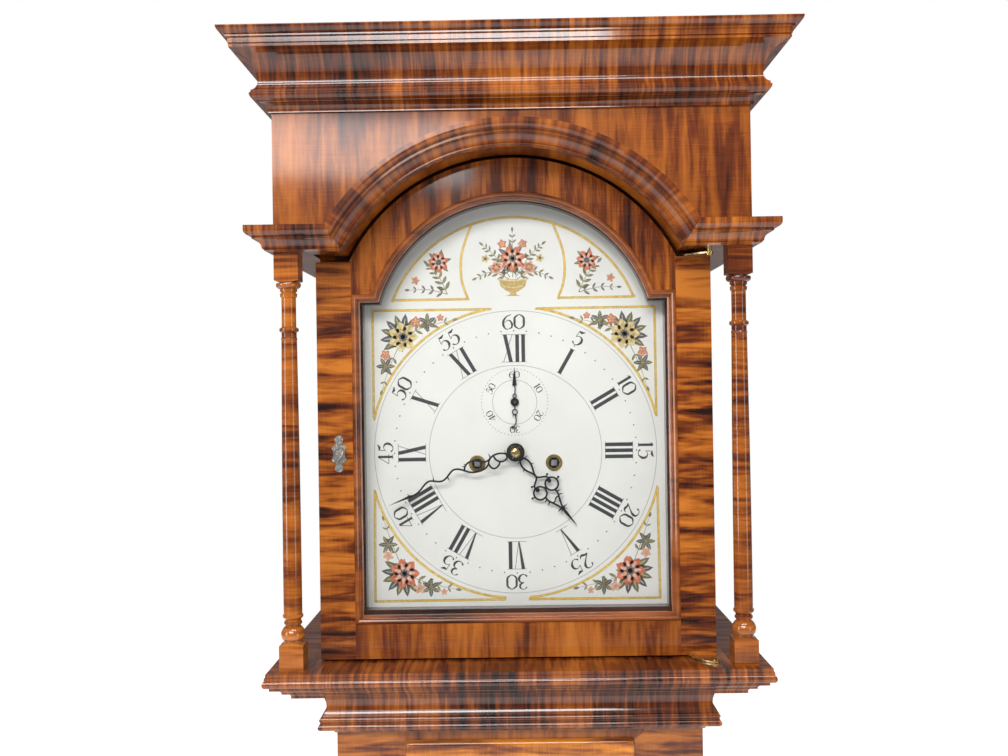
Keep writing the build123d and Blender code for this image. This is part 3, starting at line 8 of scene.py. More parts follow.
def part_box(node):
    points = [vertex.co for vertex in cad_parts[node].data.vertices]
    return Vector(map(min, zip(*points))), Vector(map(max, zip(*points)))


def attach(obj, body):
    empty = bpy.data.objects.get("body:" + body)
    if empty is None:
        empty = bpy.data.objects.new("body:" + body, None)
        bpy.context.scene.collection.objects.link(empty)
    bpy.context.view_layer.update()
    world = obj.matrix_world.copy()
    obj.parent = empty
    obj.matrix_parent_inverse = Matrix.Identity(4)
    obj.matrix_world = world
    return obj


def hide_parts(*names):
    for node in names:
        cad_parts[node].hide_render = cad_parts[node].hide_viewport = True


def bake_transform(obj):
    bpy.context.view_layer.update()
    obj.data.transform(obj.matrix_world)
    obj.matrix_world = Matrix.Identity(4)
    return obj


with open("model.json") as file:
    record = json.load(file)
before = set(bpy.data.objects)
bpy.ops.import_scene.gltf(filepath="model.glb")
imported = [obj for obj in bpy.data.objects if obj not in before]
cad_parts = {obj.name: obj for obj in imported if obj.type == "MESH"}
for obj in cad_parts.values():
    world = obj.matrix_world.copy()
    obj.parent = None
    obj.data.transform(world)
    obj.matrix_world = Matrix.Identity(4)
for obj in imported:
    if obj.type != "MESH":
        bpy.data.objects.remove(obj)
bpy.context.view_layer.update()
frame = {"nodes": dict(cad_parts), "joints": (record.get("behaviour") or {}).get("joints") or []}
nodes = frame["nodes"]
joints = {j["name"]: j for j in frame["joints"]}
MM = 0.001

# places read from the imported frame
dial_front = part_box("dial_plate")[0].y
dial_z = joints["centre_spin"]["pos_m"][2]
seconds_z = joints["escape_spin"]["pos_m"][2]
winding_z = joints["time_barrel_turn"]["pos_m"][2]
hood_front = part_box("tympanum")[0].y
hood_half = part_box("tympanum")[1].x
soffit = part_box("tympanum")[0].z
arch_z = soffit - 0.090
trunk_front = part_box("trunk_front_frame")[0].y
trunk_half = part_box("trunk_front_frame")[1].x
base_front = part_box("base_panels")[0].y
base_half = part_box("base_panels")[1].x
line_y = joints["time_pulley_turn"]["pos_m"][1]

# camera
yaw, pitch, roll = -0.0093, 0.0054, 0.0151
ahead = Vector((sin(yaw), cos(yaw), 0))
forward = (ahead * cos(pitch) + Vector((0, 0, sin(pitch)))).normalized()
right = Vector((cos(yaw), -sin(yaw), 0))
up = right.cross(forward)
tilted_right = right * cos(roll) - up * sin(roll)
tilted_up = right * sin(roll) + up * cos(roll)
camera_data = bpy.data.cameras.new("camera")
camera_data.sensor_width = 36.0
camera_data.lens = 37.5
camera_data.clip_end = 50.0
camera = bpy.data.objects.new("camera", camera_data)
bpy.context.scene.collection.objects.link(camera)
camera_place = (-0.0006, -1.16518, 1.75136)
turn = Matrix((tilted_right, tilted_up, -forward)).transposed().to_4x4()
camera.matrix_world = Matrix.Translation(camera_place) @ turn
bpy.context.scene.camera = camera
bpy.context.scene.view_settings.view_transform = "Standard"


# materials
class Shader:
    """A material and short calls that add its nodes."""

    def __init__(self, name):
        self.material = bpy.data.materials.new(name)
        self.material.use_nodes = True
        self.tree = self.material.node_tree
        self.bsdf = self.tree.nodes["Principled BSDF"]

    def node(self, kind, **values):
        n = self.tree.nodes.new("ShaderNode" + kind)
        for key, value in values.items():
            if hasattr(n, key):
                setattr(n, key, value)
            else:
                n.inputs[key.replace("_", " ")].default_value = value
        return n

    def link(self, source, target):
        self.tree.links.new(source, target)

    def place(self):
        return self.node("TexCoord").outputs["Object"]

    def stretch(self, vector, amounts):
        n = self.node("VectorMath", operation="MULTIPLY")
        self.link(vector, n.inputs[0])
        n.inputs[1].default_value = amounts
        return n.outputs[0]

    def noise(self, vector, scale=1.0, detail=3.0, rough=0.55, distortion=0.0):
        n = self.node("TexNoise", Scale=scale, Detail=detail, Roughness=rough, Distortion=distortion)
        self.link(vector, n.inputs["Vector"])
        return n.outputs["Fac"]

    def ramp(self, value, stops):
        n = self.node("ValToRGB")
        while len(n.color_ramp.elements) < len(stops):
            n.color_ramp.elements.new(0.5)
        for element, (at, colour) in zip(n.color_ramp.elements, stops):
            element.position = at
            element.color = (*colour, 1)
        self.link(value, n.inputs["Fac"])
        return n.outputs["Color"]

    def math(self, operation, a, b=None):
        n = self.node("Math", operation=operation)
        for k, v in enumerate((a, b)):
            if v is None:
                continue
            if isinstance(v, (int, float)):
                n.inputs[k].default_value = v
            else:
                self.link(v, n.inputs[k])
        return n.outputs[0]

    def spread(self, value, low, high, to_low, to_high):
        n = self.node("MapRange", From_Min=low, From_Max=high, To_Min=to_low, To_Max=to_high)
        self.link(value, n.inputs["Value"])
        return n.outputs["Result"]

    def bump(self, height, strength, distance):
        n = self.node("Bump", Strength=strength, Distance=distance)
        self.link(height, n.inputs["Height"])
        self.link(n.outputs[0], self.bsdf.inputs["Normal"])

    def set(self, **values):
        for key, value in values.items():
            self.bsdf.inputs[key.replace("_", " ")].default_value = value
        return self


AMBER = (0.225, 0.059, 0.0050)
CHESTNUT = (0.086, 0.0160, 0.0022)
UMBER = (0.010, 0.0022, 0.0012)


def maple(name, grain, bright=AMBER, middle=CHESTNUT, dark=UMBER, shift=0.0, stripe=0.011, contrast=1.0,
          depth=0.0):
    """Figured maple under amber varnish: dark stripes cross the grain."""
    s = Shader(name)
    place = s.place()
    if grain == "arch":
        centred = s.node("VectorMath", operation="SUBTRACT")
        s.link(place, centred.inputs[0])
        centred.inputs[1].default_value = (0, 0, arch_z)
        parts = s.node("SeparateXYZ")
        s.link(centred.outputs[0], parts.inputs[0])
        angle = s.math("ARCTAN2", parts.outputs[0], parts.outputs[2])
        radius = s.node("VectorMath", operation="LENGTH")
        s.link(s.stretch(centred.outputs[0], (1, 0, 1)), radius.inputs[0])
        joined = s.node("CombineXYZ")
        s.link(s.math("MULTIPLY", angle, 0.2), joined.inputs[0])
        s.link(parts.outputs[1], joined.inputs[1])
        s.link(radius.outputs["Value"], joined.inputs[2])
        place, grain = joined.outputs[0], "X"
    axis = "XYZ".index(grain)
    moved = s.node("VectorMath", operation="ADD")
    s.link(place, moved.inputs[0])
    moved.inputs[1].default_value = (shift, shift * 0.7, shift * 1.3)
    place = moved.outputs[0]

    def along(lengthwise, crosswise):
        amounts = [crosswise] * 3
        amounts[axis] = lengthwise
        return s.stretch(place, amounts)

    broad = s.noise(along(0.55 / stripe, 9.0), detail=3.0, rough=0.62, distortion=0.5)
    narrow = s.noise(along(1.5 / stripe, 17.0), detail=2.0, rough=0.5, distortion=0.35)
    clouds = s.noise(along(11.0, 7.0), detail=2.0, rough=0.5, distortion=0.4)
    fibres = s.noise(along(38.0, 1250.0), detail=2.0, rough=0.6)
    bars = s.spread(broad, 0.30, 0.62, -0.62, 0.34)
    figure = s.math("ADD", s.math("MULTIPLY", bars, contrast),
                    s.math("MULTIPLY", s.math("SUBTRACT", narrow, 0.5), 1.05 * contrast))
    soft = s.math("ADD", figure, s.math("MULTIPLY", s.math("SUBTRACT", clouds, 0.5), 1.1))
    fine = s.math("MULTIPLY", s.math("SUBTRACT", fibres, 0.5), 0.30)
    tone = s.math("ADD", s.math("ADD", soft, 0.56 - depth), fine)
    glow = (1.5 * bright[0], 1.75 * bright[1], 2.4 * bright[2])
    colour = s.ramp(tone, [(0.0, dark), (0.34, middle), (0.66, bright), (1.0, glow)])
    s.link(colour, s.bsdf.inputs["Base Color"])
    s.link(s.spread(fibres, 0.2, 0.8, 0.30, 0.42), s.bsdf.inputs["Roughness"])
    s.bump(fibres, 0.06, 0.0002)
    s.set(Coat_Weight=0.9, Coat_Roughness=0.08, Specular_IOR_Level=0.08)
    return s.material


def plain(name, colour, rough, metallic=0.0, variation=0.12, scale=60.0, bump=0.08, coat=0.0,
          stretch=(1, 1, 1)):
    """Even finish with a little cloudiness and a fine surface."""
    s = Shader(name)
    place = s.stretch(s.place(), stretch)
    clouds = s.noise(place, scale, 3.0, 0.55)
    low = tuple(c * (1 - variation) for c in colour)
    high = tuple(min(1.0, c * (1 + variation)) for c in colour)
    s.link(s.ramp(clouds, [(0.3, low), (0.7, high)]), s.bsdf.inputs["Base Color"])
    s.link(s.spread(clouds, 0.25, 0.75, rough * 0.8, rough * 1.2), s.bsdf.inputs["Roughness"])
    s.bump(s.noise(place, scale * 14, 2.0, 0.6), bump, 0.0003)
    s.set(Metallic=metallic, Coat_Weight=coat, Coat_Roughness=0.1)
    return s.material


maple_x = maple("maple_grain_x", "X", contrast=0.42, shift=0.19, stripe=0.0070)
maple_y = maple("maple_grain_y", "Y", shift=0.37, contrast=0.5, stripe=0.0080)
maple_z = maple("maple_grain_z", "Z", shift=0.71, stripe=0.0080, contrast=1.0)
maple_head = maple("maple_door_head", "X", shift=0.43, stripe=0.0065, contrast=0.6, depth=0.06)
maple_door = maple("maple_trunk_door", "Z", bright=(0.420, 0.135, 0.0085), middle=(0.150, 0.034, 0.0030),
                   shift=0.91, stripe=0.0080, contrast=0.6)
maple_arch = maple("maple_grain_arch", "arch", shift=0.13, stripe=0.0080, contrast=0.5, depth=0.17)
moulding_x = maple("moulding_grain_x", "X", shift=1.1, stripe=0.0050, contrast=0.6, depth=0.11)
moulding_y = maple("moulding_grain_y", "Y", shift=1.7, stripe=0.0050, contrast=0.6, depth=0.11)
turned = maple("maple_turned", "Z", shift=2.3, stripe=0.0055, contrast=0.55, depth=0.02)
lip_wood = maple("lip_wood", "Z", bright=(0.16, 0.040, 0.007), middle=(0.070, 0.017, 0.004),
                 dark=(0.016, 0.004, 0.002), contrast=0.5)
# Dial mask: dark brown wood, its colours darkened further as painted shade of the recess between the door and
# the dial
mask_wood_and_painted_shade = maple("mask_wood_and_painted_shade", "Z", bright=(0.085, 0.025, 0.010), middle=(0.045, 0.012, 0.005),
                  dark=(0.014, 0.004, 0.003), contrast=0.5)
pine_colours = dict(bright=(0.47, 0.29, 0.14), middle=(0.38, 0.21, 0.09), dark=(0.24, 0.12, 0.05))
pine = maple("pine_board", "Z", stripe=0.2, contrast=0.6, **pine_colours)
pine_x = maple("pine_board_x", "X", stripe=0.2, contrast=0.6, **pine_colours)
brass = plain("brass", (0.72, 0.50, 0.17), 0.24, metallic=1.0, variation=0.18, scale=90)
old_brass = plain("brass_fittings", (0.60, 0.46, 0.22), 0.28, metallic=1.0, variation=0.3, scale=300)
silvered = plain("silvered_turn", (0.72, 0.70, 0.64), 0.25, metallic=1.0, variation=0.2, scale=400)
steel = plain("steel", (0.50, 0.50, 0.50), 0.30, metallic=1.0, variation=0.2, scale=200, stretch=(1, 1, 0.2))
blackened = plain("blackened_steel", (0.014, 0.014, 0.016), 0.36, metallic=0.6, variation=0.4, scale=500)
iron = plain("cast_iron", (0.045, 0.045, 0.048), 0.62, metallic=0.4, variation=0.35, scale=120, bump=0.5)
gut = plain("gut_line", (0.52, 0.36, 0.16), 0.45, variation=0.25, scale=900)
dial_paint = plain("dial_paint", (0.80, 0.79, 0.74), 0.42, variation=0.035, scale=14, bump=0.05, coat=0.25)
dial_back_paint = plain("dial_back_iron", (0.10, 0.10, 0.10), 0.6, metallic=0.3, variation=0.3)
ink = plain("numeral_ink", (0.030, 0.030, 0.032), 0.5, variation=0.3, scale=700)
thin_ink = plain("thin_line_ink", (0.16, 0.16, 0.17), 0.5, variation=0.3, scale=900)


def glass_material():
    s = Shader("pane_glass")
    waves = s.noise(s.place(), 7.0, 2.0, 0.5)
    s.bump(waves, 0.04, 0.002)
    fresnel = s.node("Fresnel", IOR=1.5)
    s.link(s.spread(fresnel.outputs[0], 0.0, 1.0, 0.022, 0.95), s.bsdf.inputs["Alpha"])
    tint = s.ramp(waves, [(0.3, (0.90, 0.94, 0.97)), (0.7, (0.97, 0.99, 1.0))])
    s.link(tint, s.bsdf.inputs["Base Color"])
    s.set(Metallic=1.0, Roughness=0.02)
    s.material.surface_render_method = "BLENDED"
    return s.material


glass = glass_material()


def dress(name, *materials, pick=None):
    """Gives a CAD node its materials; pick says which one each face takes."""
    mesh = nodes[name].data
    mesh.materials.clear()
    for m in materials:
        mesh.materials.append(m)
    for face in mesh.polygons:
        face.material_index = pick(face.center, face.normal) if pick else 0


def by_run(half, front):
    """First material on the front run, second on the returns, divided at the mitre."""
    return lambda c, n: 1 if abs(c.x) - half > front - c.y else 0


def entablature_pick(c, n):
    """Third material on the arch, which meets the short runs at a slanting mitre."""
    mitre = 0.1695 + (c.z - soffit) * 0.571
    if abs(c.x) < mitre and c.z > soffit - 0.001:
        return 2
    return by_run(hood_half, hood_front)(c, n)


for name in ("hood_sides", "trunk_sides", "hood_door_stiles"):
    dress(name, maple_z)
frame_opening_half = 0.1089
dress("trunk_front_frame", maple_z, maple_x, pick=lambda c, n: 1 if abs(c.x) < frame_opening_half else 0)
for name in ("tympanum", "hood_roof"):
    dress(name, maple_x)
dress("trunk_door", maple_door)
# the mask's dark wood carries painted shade of the recess behind the door
dress("dial_mask", mask_wood_and_painted_shade)
dress("hood_door_rails", maple_x, maple_head, pick=lambda c, n: 1 if c.z > dial_z else 0)
base_board = 0.018
dress("base_panels", maple_x, maple_y, pick=by_run(base_half - base_board, base_front + base_board))
dress("frieze_sides", maple_y)
dress("hood_columns", turned)
for name, half, front in (("cornice", hood_half, hood_front), ("hood_base", hood_half, hood_front),
                          ("throat_moulding", trunk_half, trunk_front),
                          ("base_moulding", trunk_half, trunk_front), ("bracket_feet", base_half, base_front)):
    dress(name, moulding_x, moulding_y, pick=by_run(half, front))
dress("entablature_moulding", moulding_x, moulding_y, maple_arch, pick=entablature_pick)
dress("backboard", pine)
dress("seatboard", pine_x)
dress("hood_door_glass", glass)
for name in ("movement_frame", "back_cock", "bell", "winding_grommets", "trunk_door_hinges",
             "trunk_door_brasswork", "hood_hinge_pins", "great_wheel", "centre_wheel", "minute_wheel",
             "hour_wheel", "third_wheel", "escape_wheel", "strike_great_wheel", "pin_wheel", "gathering_wheel",
             "warning_wheel", "fly", "pendulum_bob", "time_pulley", "strike_pulley"):
    dress(name, brass)
dress("hood_hinge_plates", old_brass)
dress("hood_door_escutcheon", silvered)
dress("hood_door_turn", silvered)
dress("trunk_door_turn", old_brass)
square_back = -0.0180
for name in ("time_barrel", "strike_barrel"):
    dress(name, brass, steel, pick=lambda c, n: 1 if c.y < square_back else 0)
for name in ("hour_hand", "seconds_hand"):
    dress(name, blackened)
collet_radius = 0.0075
collet_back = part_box("minute_hand")[1].y - 0.0012
dress("minute_hand", blackened, brass,
      pick=lambda c, n: 1 if hypot(c.x, c.z - dial_z) < collet_radius and c.y < collet_back else 0)
for name in ("anchor", "pendulum", "hammer"):
    dress(name, steel)
plate_back = dial_front + 0.0021
dress("dial_plate", dial_paint, dial_back_paint, pick=lambda c, n: 0 if c.y < plate_back and n.y < 0.5 else 1)
for name in ("time_weight", "strike_weight"):
    dress(name, iron)


# small mesh tools
def new_piece(name, vertices, faces, materials, indices=None, smooth=False):
    mesh = bpy.data.meshes.new(name)
    mesh.from_pydata([tuple(v) for v in vertices], [], faces)
    for m in materials:
        mesh.materials.append(m)
    if indices:
        mesh.polygons.foreach_set("material_index", indices)
    if smooth:
        mesh.polygons.foreach_set("use_smooth", [True] * len(faces))
    mesh.update()
    piece = bpy.data.objects.new(name, mesh)
    bpy.context.scene.collection.objects.link(piece)
    return piece


class Paint:
    """Flat painted shapes just in front of the dial, in millimetres from the dial's centre."""

    def __init__(self):
        self.vertices, self.faces, self.indices, self.materials = [], [], [], []

    def shape(self, points, material, layer=0):
        if material not in self.materials:
            self.materials.append(material)
        area = sum(a[0] * b[1] - b[0] * a[1] for a, b in zip(points, points[1:] + points[:1]))
        start = len(self.vertices)
        y = dial_front - (0.08 + 0.02 * layer) * MM
        for x, z in points:
            self.vertices.append((x * MM, y, dial_z + z * MM))
        order = list(range(start, start + len(points)))
        self.faces.append(order if area > 0 else order[::-1])
        self.indices.append(self.materials.index(material))

    def strip(self, left, right, material, layer=0):
        for a, b, c, d in zip(left, left[1:], right[1:], right):
            self.shape([a, b, c, d], material, layer)

    def stroke(self, points, widths, material, layer=0, samples=6):
        """Line of changing width through the points."""
        line, width = curve(points, samples), []
        steps = len(line) - 1
        for k in range(len(line)):
            t = k / steps * (len(widths) - 1)
            i = min(int(t), len(widths) - 2)
            width.append(widths[i] + (widths[i + 1] - widths[i]) * (t - i))
        left, right_side = [], []
        for k, (x, z) in enumerate(line):
            a, b = line[max(k - 1, 0)], line[min(k + 1, steps)]
            dx, dz = b[0] - a[0], b[1] - a[1]
            size = hypot(dx, dz) or 1
            left.append((x - dz / size * width[k] / 2, z + dx / size * width[k] / 2))
            right_side.append((x + dz / size * width[k] / 2, z - dx / size * width[k] / 2))
        self.strip(left, right_side, material, layer)

    def ring(self, x, z, radius, width, material, count):
        turns = [2 * pi * k / count for k in range(count + 1)]
        outer = [(x + (radius + width / 2) * cos(a), z + (radius + width / 2) * sin(a)) for a in turns]
        inner = [(x + (radius - width / 2) * cos(a), z + (radius - width / 2) * sin(a)) for a in turns]
        self.strip(outer, inner, material)

    def dot(self, x, z, radius, material, layer=0, count=10):
        self.shape([(x + radius * cos(2 * pi * k / count), z + radius * sin(2 * pi * k / count))
                    for k in range(count)], material, layer)

    def piece(self, name):
        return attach(new_piece(name, self.vertices, self.faces, self.materials, self.indices), "case")


def curve(points, samples=6):
    """Smooth line through the points."""
    if len(points) == 2:
        return [points[0], points[1]]
    padded = [points[0]] + list(points) + [points[-1]]
    line = []
    for k in range(len(points) - 1):
        p0, p1, p2, p3 = padded[k:k + 4]
        for j in range(samples):
            t = j / samples
            line.append(tuple(
                0.5 * (2 * p1[i] + (p2[i] - p0[i]) * t + (2 * p0[i] - 5 * p1[i] + 4 * p2[i] - p3[i]) * t * t
                       + (3 * p1[i] - p0[i] - 3 * p2[i] + p3[i]) * t ** 3) for i in (0, 1)))
    line.append(tuple(points[-1]))
    return line


# moulded lip round the glass: a bead, a hollow and a fillet swept round the opening
lip_low, lip_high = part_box("hood_door_lip")
lip_width = 0.008
shoulder = arch_z + 0.0421
head_steps = 72
lip_profile = [(0.0, 0.0), (0.0, 0.0088), (0.0006, 0.0096), (0.0018, 0.0103), (0.0032, 0.0103),
               (0.0044, 0.0095), (0.0048, 0.0082), (0.0056, 0.0082), (0.0058, 0.0066), (0.0062, 0.0050),
               (0.0069, 0.0037), (0.0080, 0.0030), (0.0080, 0.0)]


def opening(inset):
    """Outline of the door's opening, drawn in by a distance."""
    half = lip_high.x - inset
    radius = lip_high.z - arch_z - inset
    low = lip_low.z + inset
    flat = shoulder + lip_width - inset
    spring = sqrt(radius ** 2 - (flat - arch_z) ** 2)
    start = atan2(flat - arch_z, spring)
    angles = [start + (pi - 2 * start) * k / head_steps for k in range(head_steps + 1)]
    head = [(radius * cos(a), arch_z + radius * sin(a)) for a in angles]
    return [(-half, flat), (-half, low), (half, low), (half, flat)] + head


rings = [[(x, lip_high.y - rise, z) for x, z in opening(inset)] for inset, rise in lip_profile]
corners = len(rings[0])
lip_vertices = [v for loop in rings for v in loop]
lip_faces = []
for r in range(len(rings)):
    s = (r + 1) % len(rings)
    for k in range(corners):
        j = (k + 1) % corners
        lip_faces.append([r * corners + k, s * corners + k, s * corners + j, r * corners + j])
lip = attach(new_piece("moulded_lip", lip_vertices, lip_faces, [lip_wood]), "hood_door")
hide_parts("hood_door_lip")

# domed cap and cross pin in front of the minute hand
cap_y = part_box("minute_hand")[0].y
cap_profile = [(7.2, 0.0), (7.2, 0.5), (6.6, 0.8), (5.6, 0.8), (5.4, 0.5), (4.9, 1.1), (3.8, 1.8), (2.2, 2.3),
               (0.4, 2.4)]
collar_rows = 4
cap_sides = 40
cap_vertices, cap_faces, cap_indices = [], [], []
for radius, rise in cap_profile:
    for k in range(cap_sides):
        a = 2 * pi * k / cap_sides
        cap_vertices.append((radius * MM * cos(a), cap_y - rise * MM, dial_z + radius * MM * sin(a)))
for r in range(len(cap_profile) - 1):
    for k in range(cap_sides):
        j = (k + 1) % cap_sides
        this, after = r * cap_sides, (r + 1) * cap_sides
        cap_faces.append([this + k, this + j, after + j, after + k])
        cap_indices.append(0 if r < collar_rows else 1)
cap_faces.append([(len(cap_profile) - 1) * cap_sides + k for k in range(cap_sides)])
cap_indices.append(1)
pin_sides = 10
pin_start = len(cap_vertices)
pin_middle = Vector((0, cap_y - 2.5 * MM, dial_z))
pin_across = Vector((cos(radians(62)), 0, sin(radians(62))))
pin_side = Vector((-pin_across.z, 0, pin_across.x))
for end, radius in ((-6.6, 0.55), (6.6, 0.85)):
    for k in range(pin_sides):
        a = 2 * pi * k / pin_sides
        around = pin_side * (radius * cos(a)) + Vector((0, radius * sin(a), 0))
        cap_vertices.append(pin_middle + (pin_across * end + around) * MM)
pin_end = pin_start + pin_sides
for k in range(pin_sides):
    j = (k + 1) % pin_sides
    cap_faces.append([pin_start + k, pin_start + j, pin_end + j, pin_end + k])
    cap_indices.append(2)
cap_faces.append([pin_start + k for k in range(pin_sides)][::-1])
cap_faces.append([pin_end + k for k in range(pin_sides)])
cap_indices += [2, 2]
cap = new_piece("hand_cap", cap_vertices, cap_faces, [blackened, brass, steel], cap_indices)
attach(cap, "centre_arbor")

# numerals and rings of the dial
BAR, ROMAN_HEIGHT, ROMAN_FOOT = 3.9, 29.2, 95.6
HAIR = 0.5


def roman(text):
    """Strokes of a Roman numeral, from the lower left corner, and its width."""
    shapes, x, h = [], 0.0, ROMAN_HEIGHT
    for k, letter in enumerate(text):
        if letter == "I":
            shapes.append((True, [(x, 0), (x + BAR, 0), (x + BAR, h), (x, h)]))
            step = BAR
        elif letter == "V":
            shapes.append((True, [(x + 0.2, h), (x + 0.2 + BAR, h), (x + 7.2, 0), (x + 5.9, 0)]))
            shapes.append((False, [(x + 10.4, h), (x + 11.1, h), (x + 7.2, 0), (x + 6.5, 0)]))
            step = 11.2
        else:
            shapes.append((True, [(x + 0.4, h), (x + 0.4 + BAR, h), (x + 10.6, 0), (x + 10.6 - BAR, 0)]))
            shapes.append((False, [(x + 9.8, h), (x + 10.5, h), (x + 1.2, 0), (x + 0.5, 0)]))
            step = 11.0
        x += step + 2.5
    width = x - 2.5
    ends = (-1.5, width + 1.5)
    for z in (0, h):
        shapes.append((False, [(ends[0], z - HAIR / 2), (ends[1], z - HAIR / 2), (ends[1], z + HAIR / 2),
                               (ends[0], z + HAIR / 2)]))
    return shapes, width


# Strokes of the digits: points and widths on a field one high
DIGITS = {
    "0": (0.70, [([(0.35, 1.0), (0.63, 0.80), (0.66, 0.5), (0.63, 0.20), (0.35, 0.0)],
                  (0.03, 0.09, 0.11, 0.09, 0.03)),
                 ([(0.35, 1.0), (0.07, 0.80), (0.04, 0.5), (0.07, 0.20), (0.35, 0.0)],
                  (0.03, 0.09, 0.11, 0.09, 0.03))]),
    "1": (0.42, [([(0.24, 1.0), (0.24, 0.02)], (0.12, 0.12)),
                 ([(0.05, 0.84), (0.14, 0.90), (0.22, 1.0)], (0.02, 0.03, 0.05)),
                 ([(0.08, 0.01), (0.40, 0.01)], (0.025, 0.025))]),
    "2": (0.68, [([(0.10, 0.76), (0.16, 0.93), (0.36, 1.0), (0.56, 0.90), (0.58, 0.70), (0.42, 0.44),
                   (0.06, 0.03)],
                  (0.10, 0.03, 0.03, 0.08, 0.12, 0.06, 0.03)),
                 ([(0.06, 0.03), (0.25, 0.08), (0.46, 0.02), (0.60, 0.06), (0.66, 0.20)],
                  (0.03, 0.09, 0.11, 0.06, 0.02))]),
    "3": (0.64, [([(0.08, 0.84), (0.20, 0.97), (0.38, 0.99), (0.53, 0.86), (0.50, 0.66), (0.26, 0.55)],
                  (0.08, 0.03, 0.03, 0.09, 0.09, 0.02)),
                 ([(0.26, 0.55), (0.52, 0.50), (0.60, 0.28), (0.48, 0.06), (0.24, 0.0), (0.06, 0.14)],
                  (0.02, 0.06, 0.12, 0.07, 0.03, 0.10))]),
    "4": (0.70, [([(0.50, 1.0), (0.50, 0.02)], (0.11, 0.11)), ([(0.48, 1.0), (0.03, 0.28)], (0.03, 0.03)),
                 ([(0.03, 0.28), (0.68, 0.28)], (0.03, 0.03)),
                 ([(0.34, 0.01), (0.66, 0.01)], (0.025, 0.025))]),
    "5": (0.66, [([(0.17, 0.97), (0.13, 0.50)], (0.03, 0.03)),
                 ([(0.16, 0.95), (0.34, 0.91), (0.56, 1.03)], (0.03, 0.12, 0.02)),
                 ([(0.13, 0.50), (0.34, 0.63), (0.56, 0.52), (0.60, 0.28), (0.44, 0.04), (0.22, 0.0),
                   (0.05, 0.13)],
                  (0.02, 0.03, 0.09, 0.12, 0.05, 0.03, 0.09))]),
    "6": (0.68, [([(0.58, 0.98), (0.28, 0.86), (0.07, 0.58), (0.05, 0.28), (0.20, 0.03), (0.38, 0.0)],
                  (0.03, 0.05, 0.10, 0.11, 0.05, 0.02)),
                 ([(0.38, 0.0), (0.60, 0.12), (0.63, 0.36), (0.50, 0.57), (0.30, 0.58), (0.09, 0.42)],
                  (0.02, 0.07, 0.10, 0.06, 0.03, 0.02))]),
}


def placed(points, turn, radius, shift, centre_z=0.0):
    """Points of a figure whose foot stands at the radius, its top outwards, turned clockwise by turn."""
    a = radians(turn)
    return [((x + shift) * cos(a) + (z + radius) * sin(a),
             centre_z - (x + shift) * sin(a) + (z + radius) * cos(a)) for x, z in points]


figures = Paint()
HOURS = ("I", "II", "III", "IIII", "V", "VI", "VII", "VIII", "IX", "X", "XI", "XII")
for hour, text in enumerate(HOURS, 1):
    shapes, width = roman(text)
    for thick, points in shapes:
        turned_points = placed(points, 30 * hour, ROMAN_FOOT, -width / 2)
        figures.shape(turned_points, ink if thick else thin_ink, 1 if thick else 0)


def number(text, turn, foot, height, heavy, centre_z=0.0):
    """Number in Arabic figures, its foot towards the centre of its ring."""
    gap = 0.09
    total = sum(DIGITS[d][0] for d in text) + gap * (len(text) - 1)
    x = -total / 2
    for digit in text:
        width, strokes = DIGITS[digit]
        for points, widths in strokes:
            sized = [(px * height, pz * height) for px, pz in points]
            moved = placed(sized, turn, foot, x * height, centre_z)
            figures.stroke(moved, [w * height * heavy for w in widths], ink)
        x += width + gap


seconds_up = (seconds_z - dial_z) / MM
for minute in range(5, 61, 5):
    number(str(minute), 6 * minute, 130.6, 15.8, 1.45)
for second in range(10, 61, 10):
    number(str(second), 6 * second, 25.6, 7.4, 1.5, seconds_up)
figures.ring(0, 0, 150.2, 0.40, thin_ink, count=180)
figures.ring(0, 0, 91.9, 0.40, thin_ink, count=150)
figures.ring(0, seconds_up, 23.6, 0.38, thin_ink, count=80)
for k in range(60):
    a = 2 * pi * k / 60
    figures.dot(128.9 * sin(a), 128.9 * cos(a), 0.75, ink)
    figures.dot(35.4 * sin(a), seconds_up + 35.4 * cos(a), 0.5, ink, count=6)
figures.piece("dial_figures")

# gold rope outlines
gold = plain("gold_rope", (0.80, 0.55, 0.10), 0.38, variation=0.25, scale=350)
gold_shade = plain("gold_rope_shade", (0.42, 0.25, 0.035), 0.45, variation=0.3, scale=350)
rope = Paint()


STRAND = ((-1, -0.25), (-0.45, 0.55), (0.3, 0.75), (1, 0.25), (0.45, -0.55), (-0.3, -0.75))
STRAND_STEP = 2.1


def lay_rope(points, samples=40):
    """Twisted strands along a line: each is a short slanted leaf."""
    line = curve(points, samples)
    total, travelled, k = 0.0, 0.0, 0
    for a, b in zip(line, line[1:]):
        size = hypot(b[0] - a[0], b[1] - a[1])
        while travelled <= total + size:
            t = (travelled - total) / (size or 1)
            x, z = a[0] + (b[0] - a[0]) * t, a[1] + (b[1] - a[1]) * t
            ux, uz = (b[0] - a[0]) / (size or 1), (b[1] - a[1]) / (size or 1)
            for half, wide, tint, layer in ((2.25, 1.40, gold_shade, 0), (1.90, 0.98, gold, 1)):
                shape = []
                for p, q in STRAND:
                    s, r = p * half, q * wide
                    along, side = s * 0.88 - r * 0.48, s * 0.48 + r * 0.88
                    shape.append((x + ux * along - uz * side, z + uz * along + ux * side))
                rope.shape(shape, tint, layer + (k % 2) * 0.4)
            travelled += STRAND_STEP
            k += 1
        total += size


def arc(radius, start, end, centre_z=0.0, count=14):
    """Points on a circle, with angles in degrees clockwise from the top."""
    angles = [radians(start + (end - start) * k / count) for k in range(count + 1)]
    return [(radius * sin(a), centre_z + radius * cos(a)) for a in angles]


